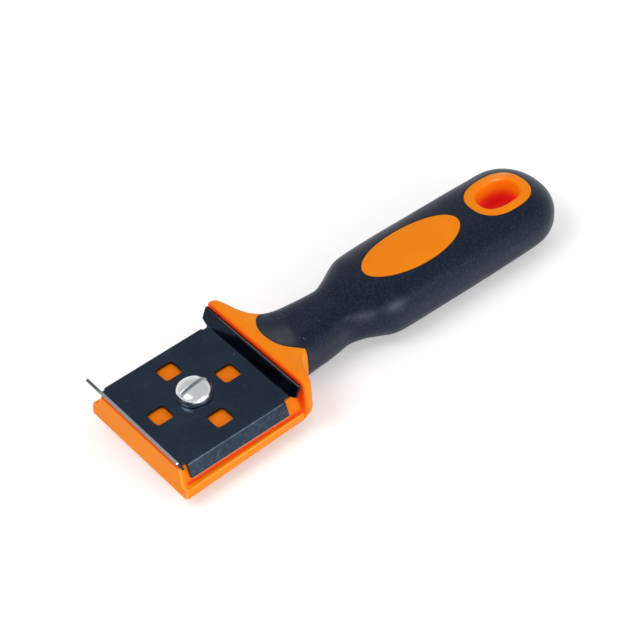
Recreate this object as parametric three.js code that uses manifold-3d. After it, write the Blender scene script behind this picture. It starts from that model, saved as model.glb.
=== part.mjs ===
// Pipe scraper: an orange handle core with a soft black sleeve, a four-lipped blade and its screw.
// Millimetres. Drawn with x along the tool from the screw's axis and z up from the blade's top face,
// then moved so that the origin is the middle of the bottom of the whole box.
import * as THREE from "three";
import { mergeVertices } from "three/addons/utils/BufferGeometryUtils.js";
import Module from "manifold-3d";

// Clearance left between neighbouring pieces
const GAP = 0.3;

// Blade
const BLADE_THICKNESS = 1.0;
const BEND_INNER_RADIUS = 0.8;
const EDGE_LIP_START = 21.2;
const EDGE_LIP_ANGLE = 66;
const EDGE_LIP_HEIGHT = 5.5;
const EDGE_LIP_HALF_WIDTH = 24.4;
const EDGE_LIP_ROOT_HALF_WIDTH = 21.6;
const EDGE_LIP_FLARE_LOW = 0.3;
const EDGE_LIP_FLARE_HIGH = 1.3;
const SIDE_LIP_START = 21.0;
const SIDE_LIP_ANGLE = 72;
const SIDE_LIP_DROP = 5.6;
const SIDE_LIP_HALF_LENGTH = 19.7;
const WINDOW_OFFSET = 13.75;
const WINDOW_SIDE = 6.7;
const WINDOW_CORNER = 0.8;
const SCREW_HOLE_RADIUS = 3.3;
const STRIP_OVERLAP = 1.5;

// Screw and the bush it turns in
const SCREW_HEAD_RADIUS = 6.0;
const SCREW_HEAD_TOP_Z = 3.9;
const SCREW_SHANK_RADIUS = 2.85;
const SCREW_TIP_Z = -9.4;
const SLOT_WIDTH = 1.6;
const SLOT_DEPTH = 1.5;
const SLOT_TURN = 9;
const BUSH_BORE_RADIUS = 3.15;
const BUSH_RADIUS = 4.2;
const BUSH_GROOVE_RADIUS = 3.85;
const BUSH_TOP_Z = -1.6;
const BUSH_BOTTOM_Z = -9.9;

// Head of the core: a rim with a raised seat that the side lips straddle
const HEAD_FRONT_X = -23.7;
const HEAD_REAR_X = 29.2;
const HEAD_BOTTOM_Z = -12.0;
const RIM_TOP_Z = -7.7;
const RIM_FRONT_HALF_WIDTH = 25.75;
const RIM_REAR_HALF_WIDTH = 23.9;
const RIM_FRONT_DRAFT = 0.05;
const RIM_REAR_DRAFT = 0.2;
const RIM_FRONT_CORNER = 0.5;
const RIM_REAR_CORNER = 3.2;
const SEAT_FOOT_HALF_WIDTH = 23.3;
const SEAT_SHOULDER_HALF_WIDTH = 21.4;
const SEAT_SHOULDER_Z = -2.1;
const SEAT_TOP_HALF_WIDTH = 20.6;
const SEAT_REAR_X = 28.0;

// Rounded edge of the rim: height above the bottom, distance set in from the outline
const RIM_LEVELS = [
  [0.0, 1.0],
  [0.35, 0.3],
  [1.1, 0.0],
  [3.2, 0.0],
  [3.95, 0.3],
  [RIM_TOP_Z - HEAD_BOTTOM_Z, 1.0],
];

// Collar, neck and grip as stations: x, half width, top, bottom, squareness of the upper half and the lower
const HANDLE_STATIONS = [
  [26.0, 25.4, 6.7, -12.0, 20, 6],
  [27.9, 25.4, 6.7, -12.0, 20, 6],
  [28.9, 24.5, 6.3, -12.0, 15, 6],
  [29.7, 22.5, 5.9, -12.1, 12, 5.5],
  [30.6, 19.7, 5.7, -12.3, 10, 5],
  [31.8, 16.8, 5.5, -12.6, 9, 4.5],
  [33.8, 13.9, 5.2, -12.9, 8, 4],
  [37.3, 11.9, 4.7, -13.3, 4.8, 3.4],
  [42.0, 11.3, 4.5, -13.7, 3.5, 3.1],
  [47.0, 10.9, 4.4, -14.0, 3.2, 3],
  [51.5, 10.5, 4.4, -13.85, 3, 3],
  [55.0, 10.2, 4.4, -13.6, 3, 3],
  [58.8, 10.8, 4.6, -13.35, 2.9, 2.9],
  [61.9, 11.9, 5.0, -13.2, 2.8, 2.8],
  [65.2, 13.8, 5.6, -13.6, 2.7, 2.7],
  [68.0, 15.3, 6.0, -14.1, 2.7, 2.7],
  [72.0, 16.6, 6.4, -15.1, 2.75, 2.7],
  [77.0, 17.0, 6.4, -15.7, 2.8, 2.7],
  [92.5, 17.15, 6.05, -15.85, 2.9, 2.68],
  [105.0, 17.15, 5.65, -16.2, 2.9, 2.66],
  [118.0, 17.15, 5.5, -16.2, 2.8, 2.68],
  [132.0, 17.2, 6.35, -16.15, 2.25, 2.7],
];
const HANDLE_X = [
  26, 27, 27.9, 28.4, 28.9, 29.3, 29.7, 30.1, 30.6, 31.2, 31.8, 32.7, 33.8, 35.4, 37.3, 42, 47, 51.5, 55,
  57, 58.8, 60.3, 61.9, 63.5, 65.2, 66.6, 68, 70, 72, 74.5, 77, 84, 92.5, 105, 118, 125, 129, 132, 136, 139, 141.5,
  143.8, 145.8, 147.5, 148.9, 149.9, 150.6, 151,
];
const END_X = 151.25;
const END_PLAN_START = 135.5;
const END_PLAN_POWER = 2.1;
const END_SIDE_START = 129.0;
const END_SIDE_POWER = 2.32;
const SECTION_POINTS = 36;

// Sleeve over the core
const SLEEVE_THICKNESS = 2.6;
const SLEEVE_FRONT_X = 37.6;
const TONGUE_TIP_X = 29.6;
const TONGUE_HALF_WIDTH = 10.8;
const CORE_X = [32, 37.3, 47, 51.5, 55, 58.8, 61.9, 65.2, 68, 72, 77, 92.5, 105, 118, 132, 138, 142, 145];
const CORE_POINTS = 24;

// Pad and hang hole
const PAD_X = 92.35;
const PAD_HALF_LENGTH = 20.3;
const PAD_HALF_WIDTH = 9.3;
const PAD_POWER = 2.0;
const PAD_FOOT_Z = -3;
const HOLE_X = 131.75;
const LINING_HALF_LENGTH = 12.2;
const LINING_HALF_WIDTH = 9.6;
const LINING_POWER = 2.4;
const HOLE_HALF_LENGTH = 8.2;
const HOLE_HALF_WIDTH = 5.9;
const HOLE_POWER = 2.6;

const FAR = 60;

const wasm = await Module();
wasm.setup();

function solid(geometry) {
  const bare = geometry.clone();
  bare.deleteAttribute("normal");
  bare.deleteAttribute("uv");
  const merged = mergeVertices(bare, 1e-4);
  return new wasm.Manifold(
    new wasm.Mesh({
      numProp: 3,
      vertProperties: new Float32Array(merged.attributes.position.array),
      triVerts: new Uint32Array(merged.index.array),
    }),
  );
}

function meshOf(body, name, color, metalness, roughness) {
  const data = body.getMesh();
  const geometry = new THREE.BufferGeometry();
  geometry.setAttribute("position", new THREE.BufferAttribute(new Float32Array(data.vertProperties), 3));
  geometry.setIndex(new THREE.BufferAttribute(new Uint32Array(data.triVerts), 1));
  geometry.computeVertexNormals();
  const material = new THREE.MeshStandardMaterial({ color, metalness, roughness });
  const mesh = new THREE.Mesh(geometry, material);
  mesh.name = name;
  return mesh;
}

function box(x0, x1, y0, y1, z0, z1) {
  const geometry = new THREE.BoxGeometry(x1 - x0, y1 - y0, z1 - z0);
  geometry.translate((x0 + x1) / 2, (y0 + y1) / 2, (z0 + z1) / 2);
  return solid(geometry);
}

// Outline in plan, raised from one height to another
function standing(points, low, high) {
  const geometry = new THREE.ExtrudeGeometry(new THREE.Shape(points), {
    depth: high - low,
    bevelEnabled: false,
  });
  geometry.translate(0, 0, low);
  return solid(geometry);
}

// Outline in (x, z), drawn out across the tool
function across(points, low, high) {
  const geometry = new THREE.ExtrudeGeometry(new THREE.Shape(points), {
    depth: high - low,
    bevelEnabled: false,
  });
  geometry.rotateX(Math.PI / 2);
  geometry.translate(0, high, 0);
  return solid(geometry);
}

// Outline in (y, z), drawn out along the tool
function along(points, low, high) {
  const geometry = new THREE.ExtrudeGeometry(new THREE.Shape(points), {
    depth: high - low,
    bevelEnabled: false,
  });
  const turned = new THREE.Matrix4().set(0, 0, 1, low, 1, 0, 0, 0, 0, 1, 0, 0, 0, 0, 0, 1);
  geometry.applyMatrix4(turned);
  return solid(geometry);
}

// Profile of (radius, height) turned about the screw's axis
function turned(profile, segments) {
  const points = profile.map(([radius, height]) => new THREE.Vector2(radius, height));
  const geometry = new THREE.LatheGeometry(points, segments);
  geometry.rotateX(Math.PI / 2);
  return solid(geometry);
}

// Superellipse in plan
function ovalOutline(x, halfLength, halfWidth, power, count) {
  const points = [];
  for (let i = 0; i < count; i += 1) {
    const angle = (2 * Math.PI * i) / count;
    const c = Math.cos(angle);
    const s = Math.sin(angle);
    const px = x + halfLength * Math.sign(c) * Math.abs(c) ** (2 / power);
    const py = halfWidth * Math.sign(s) * Math.abs(s) ** (2 / power);
    points.push(new THREE.Vector2(px, py));
  }
  return points;
}

function roundedSquare(x, y, half, corner) {
  const points = [];
  for (let quarter = 0; quarter < 4; quarter += 1) {
    for (let i = 0; i <= 3; i += 1) {
      const angle = (Math.PI / 2) * (quarter + i / 3);
      const cx = (quarter === 0 || quarter === 3 ? 1 : -1) * (half - corner);
      const cy = (quarter < 2 ? 1 : -1) * (half - corner);
      points.push(new THREE.Vector2(x + cx + corner * Math.cos(angle), y + cy + corner * Math.sin(angle)));
    }
  }
  return points;
}

// Column of the station table at x, by monotone cubic interpolation
function stationValue(x, column) {
  const table = HANDLE_STATIONS;
  const last = table.length - 1;
  if (x <= table[0][0]) return table[0][column];
  if (x >= table[last][0]) return table[last][column];
  let k = 0;
  while (table[k + 1][0] < x) k += 1;
  const slope = (i) => (table[i + 1][column] - table[i][column]) / (table[i + 1][0] - table[i][0]);
  const tangent = (i) => {
    if (i === 0 || i === last) return 0;
    const before = slope(i - 1);
    const after = slope(i);
    if (before * after <= 0) return 0;
    return (2 * before * after) / (before + after);
  };
  const width = table[k + 1][0] - table[k][0];
  const t = (x - table[k][0]) / width;
  const h00 = (1 + 2 * t) * (1 - t) * (1 - t);
  const h10 = t * (1 - t) * (1 - t);
  const h01 = t * t * (3 - 2 * t);
  const h11 = t * t * (t - 1);
  return (
    h00 * table[k][column] +
    h10 * width * tangent(k) +
    h01 * table[k + 1][column] +
    h11 * width * tangent(k + 1)
  );
}

// One section of the handle, set in by a wall thickness
function section(x, inset, count) {
  const plan = Math.max(0, Math.min(1, (x - END_PLAN_START) / (END_X - END_PLAN_START)));
  const side = Math.max(0, Math.min(1, (x - END_SIDE_START) / (END_X - END_SIDE_START)));
  const top = stationValue(x, 2);
  const bottom = stationValue(x, 3);
  const upper = stationValue(x, 4);
  const lower = stationValue(x, 5);
  const width = stationValue(x, 1) * (1 - plan ** END_PLAN_POWER) ** (1 / END_PLAN_POWER) - inset;
  const height = ((top - bottom) / 2) * (1 - side ** END_SIDE_POWER) ** (1 / END_SIDE_POWER) - inset;
  const middle = (top + bottom) / 2;
  const ring = [];
  for (let j = 0; j < count; j += 1) {
    const angle = (2 * Math.PI * j) / count;
    const c = Math.cos(angle);
    const s = Math.sin(angle);
    const squareness = s >= 0 ? upper : lower;
    const y = width * Math.sign(c) * Math.abs(c) ** (2 / squareness);
    const z = middle + height * Math.sign(s) * Math.abs(s) ** (2 / squareness);
    ring.push([x, y, z]);
  }
  return { ring, middle };
}

// Closed skin over rings of points, with a fan over each end
function skin(rings, firstCentre, lastCentre) {
  const count = rings[0].length;
  const positions = rings.flat(2);
  const index = [];
  for (let i = 0; i + 1 < rings.length; i += 1) {
    for (let j = 0; j < count; j += 1) {
      const a = i * count + j;
      const b = i * count + ((j + 1) % count);
      index.push(a, b, a + count, b, b + count, a + count);
    }
  }
  const first = positions.length / 3;
  positions.push(...firstCentre, ...lastCentre);
  const base = (rings.length - 1) * count;
  for (let j = 0; j < count; j += 1) {
    const next = (j + 1) % count;
    index.push(first, next, j);
    index.push(first + 1, base + j, base + next);
  }
  const geometry = new THREE.BufferGeometry();
  geometry.setAttribute("position", new THREE.Float32BufferAttribute(positions, 3));
  geometry.setIndex(index);
  return solid(geometry);
}

// Handle skin over the sections at some stations; it closes on a point when a tip is given
function loft(stations, inset, count, tip) {
  const sections = stations.map((x) => section(x, inset, count));
  const last = stations.length - 1;
  return skin(
    sections.map(({ ring }) => ring),
    [stations[0], 0, sections[0].middle],
    [tip ?? stations[last], 0, sections[last].middle],
  );
}

// Bent strip in (outward, up): flat, then an arc, then a straight lip; side is +1 for up and -1 for down
function lipProfile(start, angle, reach, side) {
  const inner = BEND_INNER_RADIUS;
  const outer = BEND_INNER_RADIUS + BLADE_THICKNESS;
  const bend = THREE.MathUtils.degToRad(angle);
  const near = side > 0 ? inner : outer;
  const other = side > 0 ? outer : inner;
  const top = [new THREE.Vector2(start - STRIP_OVERLAP, 0)];
  const low = [new THREE.Vector2(start - STRIP_OVERLAP, -BLADE_THICKNESS)];
  const steps = 5;
  const centre = side > 0 ? inner : -outer;
  for (let i = 0; i <= steps; i += 1) {
    const a = (bend * i) / steps;
    top.push(new THREE.Vector2(start + near * Math.sin(a), centre - side * near * Math.cos(a)));
    low.push(new THREE.Vector2(start + other * Math.sin(a), centre - side * other * Math.cos(a)));
  }
  const endOfArc = top[top.length - 1];
  const length = (reach - Math.abs(endOfArc.y)) / Math.sin(bend);
  const run = new THREE.Vector2(Math.cos(bend) * length, side * Math.sin(bend) * length);
  top.push(endOfArc.clone().add(run));
  low.push(low[low.length - 1].clone().add(run));
  return [...low, ...top.reverse()];
}

function mirrored(points) {
  return points.map((p) => new THREE.Vector2(-p.x, p.y)).reverse();
}

function makeBlade() {
  let body = box(
    -EDGE_LIP_START, EDGE_LIP_START, -SIDE_LIP_START, SIDE_LIP_START, -BLADE_THICKNESS, 0);
  const edge = lipProfile(EDGE_LIP_START, EDGE_LIP_ANGLE, EDGE_LIP_HEIGHT, 1);
  const flare = [
    new THREE.Vector2(EDGE_LIP_ROOT_HALF_WIDTH, -FAR),
    new THREE.Vector2(FAR, -FAR),
    new THREE.Vector2(FAR, EDGE_LIP_FLARE_HIGH),
    new THREE.Vector2(EDGE_LIP_HALF_WIDTH, EDGE_LIP_FLARE_HIGH),
    new THREE.Vector2(EDGE_LIP_ROOT_HALF_WIDTH, EDGE_LIP_FLARE_LOW),
  ];
  const flares = along(flare, -FAR, FAR).add(along(mirrored(flare), -FAR, FAR));
  for (const profile of [edge, mirrored(edge)]) {
    const strip = across(profile, -EDGE_LIP_HALF_WIDTH, EDGE_LIP_HALF_WIDTH);
    body = body.add(strip.subtract(flares));
  }
  const side = lipProfile(SIDE_LIP_START, SIDE_LIP_ANGLE, SIDE_LIP_DROP, -1);
  for (const profile of [side, mirrored(side)]) {
    body = body.add(along(profile, -SIDE_LIP_HALF_LENGTH, SIDE_LIP_HALF_LENGTH));
  }
  for (const [dx, dy] of [[1, 0], [-1, 0], [0, 1], [0, -1]]) {
    const outline = roundedSquare(dx * WINDOW_OFFSET, dy * WINDOW_OFFSET, WINDOW_SIDE / 2, WINDOW_CORNER);
    body = body.subtract(standing(outline, -FAR, FAR));
  }
  const hole = turned([[0, -FAR], [SCREW_HOLE_RADIUS, -FAR], [SCREW_HOLE_RADIUS, FAR], [0, FAR]], 28);
  return body.subtract(hole);
}

function makeScrew() {
  const under = GAP;
  const top = SCREW_HEAD_TOP_Z;
  const radius = SCREW_HEAD_RADIUS;
  const profile = [
    [0, SCREW_TIP_Z],
    [SCREW_SHANK_RADIUS - 0.6, SCREW_TIP_Z],
    [SCREW_SHANK_RADIUS, SCREW_TIP_Z + 0.6],
    [SCREW_SHANK_RADIUS, under],
    [radius - 0.25, under],
    [radius, under + 0.3],
    [radius, under + 1.0],
    [radius * 0.97, top - 1.45],
    [radius * 0.9, top - 0.92],
    [radius * 0.78, top - 0.5],
    [radius * 0.6, top - 0.2],
    [radius * 0.4, top],
    [0, top],
  ];
  const slotGeometry = new THREE.BoxGeometry(FAR, SLOT_WIDTH, 2 * SLOT_DEPTH);
  slotGeometry.rotateZ(THREE.MathUtils.degToRad(SLOT_TURN));
  slotGeometry.translate(0, 0, top);
  return turned(profile, 32).subtract(solid(slotGeometry));
}

function makeBush() {
  const middle = (BUSH_TOP_Z + BUSH_BOTTOM_Z) / 2;
  const profile = [
    [0, BUSH_BOTTOM_Z],
    [BUSH_RADIUS, BUSH_BOTTOM_Z],
    [BUSH_RADIUS, middle - 1.2],
    [BUSH_GROOVE_RADIUS, middle - 0.8],
    [BUSH_GROOVE_RADIUS, middle + 0.8],
    [BUSH_RADIUS, middle + 1.2],
    [BUSH_RADIUS, BUSH_TOP_Z],
    [0, BUSH_TOP_Z],
  ];
  const bore = turned([[0, -FAR], [BUSH_BORE_RADIUS, -FAR], [BUSH_BORE_RADIUS, FAR], [0, FAR]], 28);
  return turned(profile, 28).subtract(bore);
}

// Outline of the rim in plan at a height above its bottom, going round from the rear corner
function rimRing(height, inset) {
  const ring = [];
  const corner = (x, y, radius, from) => {
    for (let i = 0; i <= 4; i += 1) {
      const angle = from + (Math.PI / 2) * (i / 4);
      ring.push([x + radius * Math.cos(angle), y + radius * Math.sin(angle), HEAD_BOTTOM_Z + height]);
    }
  };
  const front = HEAD_FRONT_X + RIM_FRONT_CORNER;
  const rear = HEAD_REAR_X - RIM_REAR_CORNER;
  const frontY = RIM_FRONT_HALF_WIDTH + RIM_FRONT_DRAFT * height - inset - RIM_FRONT_CORNER;
  const rearY = RIM_REAR_HALF_WIDTH + RIM_REAR_DRAFT * height - inset - RIM_REAR_CORNER;
  corner(rear, rearY, RIM_REAR_CORNER, 0);
  corner(front, frontY, RIM_FRONT_CORNER, Math.PI / 2);
  corner(front, -frontY, RIM_FRONT_CORNER, Math.PI);
  corner(rear, -rearY, RIM_REAR_CORNER, 1.5 * Math.PI);
  return ring;
}

// Rim with rounded edges, and the seat standing on it with sloped sides
function makeHead() {
  const rings = RIM_LEVELS.map(([height, inset]) => rimRing(height, inset));
  const rim = skin(rings, [0, 0, HEAD_BOTTOM_Z], [0, 0, RIM_TOP_Z]);
  const half = [
    [SEAT_FOOT_HALF_WIDTH + 0.4, RIM_TOP_Z - 1],
    [SEAT_FOOT_HALF_WIDTH + 0.4, RIM_TOP_Z],
    [SEAT_FOOT_HALF_WIDTH, RIM_TOP_Z + 0.4],
    [SEAT_SHOULDER_HALF_WIDTH, SEAT_SHOULDER_Z],
    [SEAT_TOP_HALF_WIDTH, -BLADE_THICKNESS - GAP],
  ];
  const profile = [
    ...half.map(([y, z]) => new THREE.Vector2(y, z)),
    ...half.map(([y, z]) => new THREE.Vector2(-y, z)).reverse(),
  ];
  return rim.add(along(profile, HEAD_FRONT_X, SEAT_REAR_X));
}

function tongueOutline(grow) {
  const points = [];
  const steps = 20;
  for (let i = 0; i <= steps; i += 1) {
    const angle = Math.PI / 2 + (Math.PI * i) / steps;
    const reach = SLEEVE_FRONT_X - TONGUE_TIP_X + grow;
    const x = SLEEVE_FRONT_X + reach * Math.cos(angle);
    const y = (TONGUE_HALF_WIDTH + grow) * Math.sin(angle);
    points.push(new THREE.Vector2(x, y));
  }
  points.push(new THREE.Vector2(SLEEVE_FRONT_X + 2, -TONGUE_HALF_WIDTH - grow));
  points.push(new THREE.Vector2(SLEEVE_FRONT_X + 2, TONGUE_HALF_WIDTH + grow));
  return points;
}

const neckTop = stationValue(SLEEVE_FRONT_X, 2);
const tongueFloor = neckTop - SLEEVE_THICKNESS + GAP;

function sleeveSpace(grow) {
  const tongue = standing(tongueOutline(grow), tongueFloor - grow, FAR);
  return box(SLEEVE_FRONT_X - grow, 3 * FAR, -FAR, FAR, -FAR, FAR).add(tongue);
}

const outline = loft(HANDLE_X, 0, SECTION_POINTS, END_X);
const padOutline = (grow) =>
  ovalOutline(PAD_X, PAD_HALF_LENGTH + grow, PAD_HALF_WIDTH + grow, PAD_POWER, 40);
const liningOutline = (grow) =>
  ovalOutline(HOLE_X, LINING_HALF_LENGTH + grow, LINING_HALF_WIDTH + grow, LINING_POWER, 40);
const holeOutline = ovalOutline(HOLE_X, HOLE_HALF_LENGTH, HOLE_HALF_WIDTH, HOLE_POWER, 36);
const hangHole = standing(holeOutline, -FAR, FAR);

function makeCore() {
  const collar = outline.subtract(sleeveSpace(GAP));
  const spine = loft(CORE_X, SLEEVE_THICKNESS, CORE_POINTS);
  const pad = standing(padOutline(0), PAD_FOOT_Z, FAR).intersect(outline);
  const lining = standing(liningOutline(0), -FAR, FAR).intersect(outline);
  const bushPocket = turned(
    [
      [0, BUSH_BOTTOM_Z - GAP],
      [BUSH_RADIUS + GAP, BUSH_BOTTOM_Z - GAP],
      [BUSH_RADIUS + GAP, FAR],
      [0, FAR],
    ],
    28,
  );
  const head = makeHead().subtract(bushPocket);
  return head.add(collar).add(spine).add(pad).add(lining).subtract(hangHole);
}

function makeSleeve() {
  const cavityX = [...CORE_X.slice(0, -1), CORE_X[CORE_X.length - 1] + GAP];
  const cavity = loft(cavityX, SLEEVE_THICKNESS - GAP, CORE_POINTS);
  const padWindow = standing(padOutline(GAP), PAD_FOOT_Z - GAP, FAR);
  const liningWindow = standing(liningOutline(GAP), -FAR, FAR);
  return outline
    .intersect(sleeveSpace(0))
    .subtract(cavity)
    .subtract(padWindow)
    .subtract(liningWindow);
}

const group = new THREE.Group();
group.name = "pipe_scraper";
group.add(meshOf(makeCore(), "handle_core", 0xf08c23, 0.0, 0.45));
group.add(meshOf(makeSleeve(), "grip_sleeve", 0x23262e, 0.0, 0.85));
group.add(meshOf(makeBlade(), "scraper_blade", 0x2c343f, 0.8, 0.45));
group.add(meshOf(makeScrew(), "clamp_screw", 0xd7dee6, 1.0, 0.25));
group.add(meshOf(makeBush(), "threaded_insert", 0xb08d4a, 1.0, 0.35));

const bounds = new THREE.Box3().setFromObject(group);
const shift = new THREE.Vector3(
  -(bounds.min.x + bounds.max.x) / 2,
  -(bounds.min.y + bounds.max.y) / 2,
  -bounds.min.z,
);
for (const mesh of group.children) mesh.geometry.translate(shift.x, shift.y, shift.z);

export default group;
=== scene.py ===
"""Pipe scraper: an orange handle with a soft black grip, a blued blade and its slotted clamp screw.

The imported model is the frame. Each operator makes one piece of the tool, or a group of like pieces.
Shapes are worked out in millimetres, with x along the tool from the screw's axis and z up from the
blade's upper face, and are moved into the frame in metres when their mesh is written.
"""

import math
from functools import partial
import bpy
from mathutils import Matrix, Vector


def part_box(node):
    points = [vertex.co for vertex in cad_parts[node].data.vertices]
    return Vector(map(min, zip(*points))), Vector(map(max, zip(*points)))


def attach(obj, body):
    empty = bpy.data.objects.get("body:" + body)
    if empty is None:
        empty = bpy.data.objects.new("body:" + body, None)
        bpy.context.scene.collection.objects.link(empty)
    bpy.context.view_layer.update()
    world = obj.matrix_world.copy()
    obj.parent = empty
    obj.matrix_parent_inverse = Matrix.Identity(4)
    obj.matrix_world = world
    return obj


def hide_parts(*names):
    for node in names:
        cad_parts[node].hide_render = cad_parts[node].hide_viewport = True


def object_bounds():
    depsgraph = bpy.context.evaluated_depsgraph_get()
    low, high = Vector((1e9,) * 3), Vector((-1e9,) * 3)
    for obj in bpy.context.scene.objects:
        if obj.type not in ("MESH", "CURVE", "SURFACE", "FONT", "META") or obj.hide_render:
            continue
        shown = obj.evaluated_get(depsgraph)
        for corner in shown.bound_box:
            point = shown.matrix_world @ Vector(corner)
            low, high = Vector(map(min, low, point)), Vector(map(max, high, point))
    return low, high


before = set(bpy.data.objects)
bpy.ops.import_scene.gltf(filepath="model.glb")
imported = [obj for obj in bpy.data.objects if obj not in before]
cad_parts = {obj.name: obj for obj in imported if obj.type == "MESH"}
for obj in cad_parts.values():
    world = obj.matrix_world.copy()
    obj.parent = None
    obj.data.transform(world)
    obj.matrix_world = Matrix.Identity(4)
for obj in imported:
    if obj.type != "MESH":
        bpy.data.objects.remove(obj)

from types import SimpleNamespace

import bmesh
import bpy
import numpy as np
from bpy.props import FloatProperty, FloatVectorProperty, PointerProperty
from bpy.types import Operator, Panel, PropertyGroup
from mathutils import Matrix, Vector

bl_info = {
    "name": "Pipe Scraper",
    "version": (1, 0, 0),
    "blender": (4, 5, 0),
    "location": "View3D > Sidebar > Scraper",
    "description": "Builds a pipe scraper with a soft grip, a lipped blade and its clamp screw",
    "category": "Object",
}

CAD_BOX = [list(corner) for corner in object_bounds()]
SCREW_LOW, SCREW_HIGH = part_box("clamp_screw")
LIP_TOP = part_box("scraper_blade")[1].z
PHOTO_PIXELS, SENSOR_WIDTH = 638, 36.0
MERGE_DISTANCE = 2e-7
BEVEL_DEGREES, BEVEL_SEGMENTS = 50, 2
TINY, SAME_LEVEL, LEAST_COSINE = 1e-6, 0.01, 1e-3

# Steps round a quarter turn, fine and coarse
QUARTER = np.radians([0, 22.5, 45, 67.5, 90])
COARSE_QUARTER = np.radians([0, 30, 60, 90])

# Collar, neck and grip in mm: x, half width, top, bottom, squareness of the upper half and the lower
STATIONS = np.array([
    [25.2, 25.7, 6.7, -12.0, 14, 6.0],
    [26.8, 25.65, 6.65, -12.0, 13, 5.6],
    [27.9, 25.45, 6.55, -12.0, 12, 4.6],
    [28.9, 24.5, 6.4, -12.0, 10, 4.0],
    [29.7, 22.5, 6.2, -12.1, 9, 3.8],
    [30.6, 19.7, 5.95, -12.3, 8.5, 3.7],
    [31.8, 16.8, 5.7, -12.6, 8, 3.6],
    [33.8, 13.9, 5.3, -12.9, 7, 3.5],
    [37.3, 11.9, 4.75, -13.3, 4.8, 3.3],
    [42.0, 11.3, 4.5, -13.7, 3.5, 3.1],
    [47.0, 10.9, 4.4, -14.0, 3.2, 3],
    [51.5, 10.45, 4.4, -13.85, 3, 3],
    [57.1, 9.9, 4.45, -13.4, 3, 3],
    [58.8, 10.4, 4.6, -13.35, 2.9, 2.9],
    [61.9, 11.8, 5.0, -13.2, 2.8, 2.8],
    [65.2, 13.6, 5.6, -13.6, 2.7, 2.7],
    [68.0, 15.05, 6.0, -14.1, 2.7, 2.7],
    [72.0, 16.6, 6.4, -15.1, 2.75, 2.7],
    [77.0, 17.0, 6.4, -15.7, 2.8, 2.7],
    [92.5, 17.15, 6.05, -15.85, 2.9, 2.68],
    [105.0, 17.15, 5.65, -16.2, 2.9, 2.66],
    [118.0, 17.15, 5.5, -16.2, 2.8, 2.68],
    [132.0, 17.2, 6.35, -16.15, 2.25, 2.7],
])
HALF_WIDTH, TOP, BOTTOM, UPPER_POWER, LOWER_POWER = 1, 2, 3, 4, 5
END_X = 151.5
END_PLAN_START, END_PLAN_POWER = 135.5, 2.1
END_SIDE_START, END_SIDE_POWER = 129.0, 2.32

# The line that the handle is swept about: low in the head, then rising to the section's middle
HEAD_CENTRE_Z = -9.0
HEAD_CENTRE = np.array([0.0, HEAD_CENTRE_Z])
SWEEP_RISE_START, SWEEP_RISE_LENGTH = 29.5, 12.5
FARTHEST, THINNEST = 60.0, 1e-4
HALVINGS, EDGE_HALVINGS = 40, 30
TONGUE_SEARCH_DEGREES, TONGUE_SEARCH_STEPS = (15, 89), 400

# Section of the head in mm: rounds, shares along its straight stretches, and points on its arcs and seat
FOOT_ROUND, SHOULDER_ROUND, BRIM_ROUND_SHARE = 0.55, 0.9, 0.9
FLOOR_SHARES = (0.0, 0.4, 0.75, 0.93)
SLOPE_SHARES = (0.05, 0.11, 0.18, 0.4, 0.7)
LOW_STEPS, SHOULDER_STEPS = 6, 7
SIDE_TURNS, TONGUE_TURNS = 12, 26

# Rows of the head along x in mm, the block of cells round the bush's pocket, and rings of the front face
FRONT_ROWS = (-21.0, -17.0, -13.0, -9.5)
REAR_ROWS = (9.5, 13.0, 17.0, 20.5, 22.5, 23.5, 24.3)
POCKET_BLOCK, POCKET_CELLS, POCKET_SPREAD = 7.0, 12, 6.8
POCKET_SHARES = (0.4, 0.75, 0.95, 1.0)
POCKET_LIP, POCKET_MIDDLE = -0.15, -3.0
CAP_SHARES = (0.3, 0.6, 0.85, 0.97)

# Wall, collar and spine: where the crest is measured, how much of a low wall its rounds take, and rows
CREST_BEHIND, ROUND_LIMIT = 0.6, 0.45
WALL_SHARES = (0.33, 0.67)
COLLAR_ROWS, COLLAR_SPREAD = 28, 1.15
SPINE_GAP = 0.1
SPINE_SHARES = (0.4, 0.8)
SPINE_ROWS = (44, 50, 55, 60, 64, 68, 73, 80, 95, 112)

# Painted light on the head: above 0 painted shade in hollows, on the seat and on the wall behind the
# blade; below 0 painted highlights on edges; the wall also has a painted glow
BRIM_LIT = (-0.1, -0.3, -0.5, -0.6, -0.5, -0.3, -0.1)
FRONT_LIT = (-0.1, -0.5, -0.6, -0.5, -0.1)
FOOT_SHADE = (0.2, 0.5, 0.8, 0.9, 0.9, 0.8)
SLOPE_SHADE = (0.6, 0.35, 0.1, 0.0, 0.0)
WALL_SHADE = (0.3, 0.6, 0.95, 1.0, 1.0, 1.0, 0.95, 0.75, 0.4, 0.1, 0.0)
SEAT_SHADE, COVERED_SHADE = 0.2, 0.7
COVER_MARGIN, COVER_FADE, COVER_DEPTH = 0.5, 1.5, 0.4
FULL_WALL, WALL_GLOW = 4.0, 0.35

# Sleeve: points round it, rows along it in mm, and the columns of the windows in its top and underside
SLEEVE_POINTS, SLEEVE_FRONT_ROWS, SLEEVE_NECK = 160, 20, 48.0
NECK_ROWS = np.arange(49.5, 70, 1.25)
PAD_ROWS = np.linspace(70.5, 115.5, 33)
HOLE_ROWS = np.linspace(117.5, 146, 25)
END_ROWS = (147.3, 148.4, 149.3, 150.1, 150.65, 151.05, 151.3, 151.44)
TOP_COLUMNS, UNDER_COLUMNS = (15, 65), (95, 145)
SLEEVE_WINDOW_SHARES = (0.3, 0.56, 0.76, 0.9, 1.0)

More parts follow.
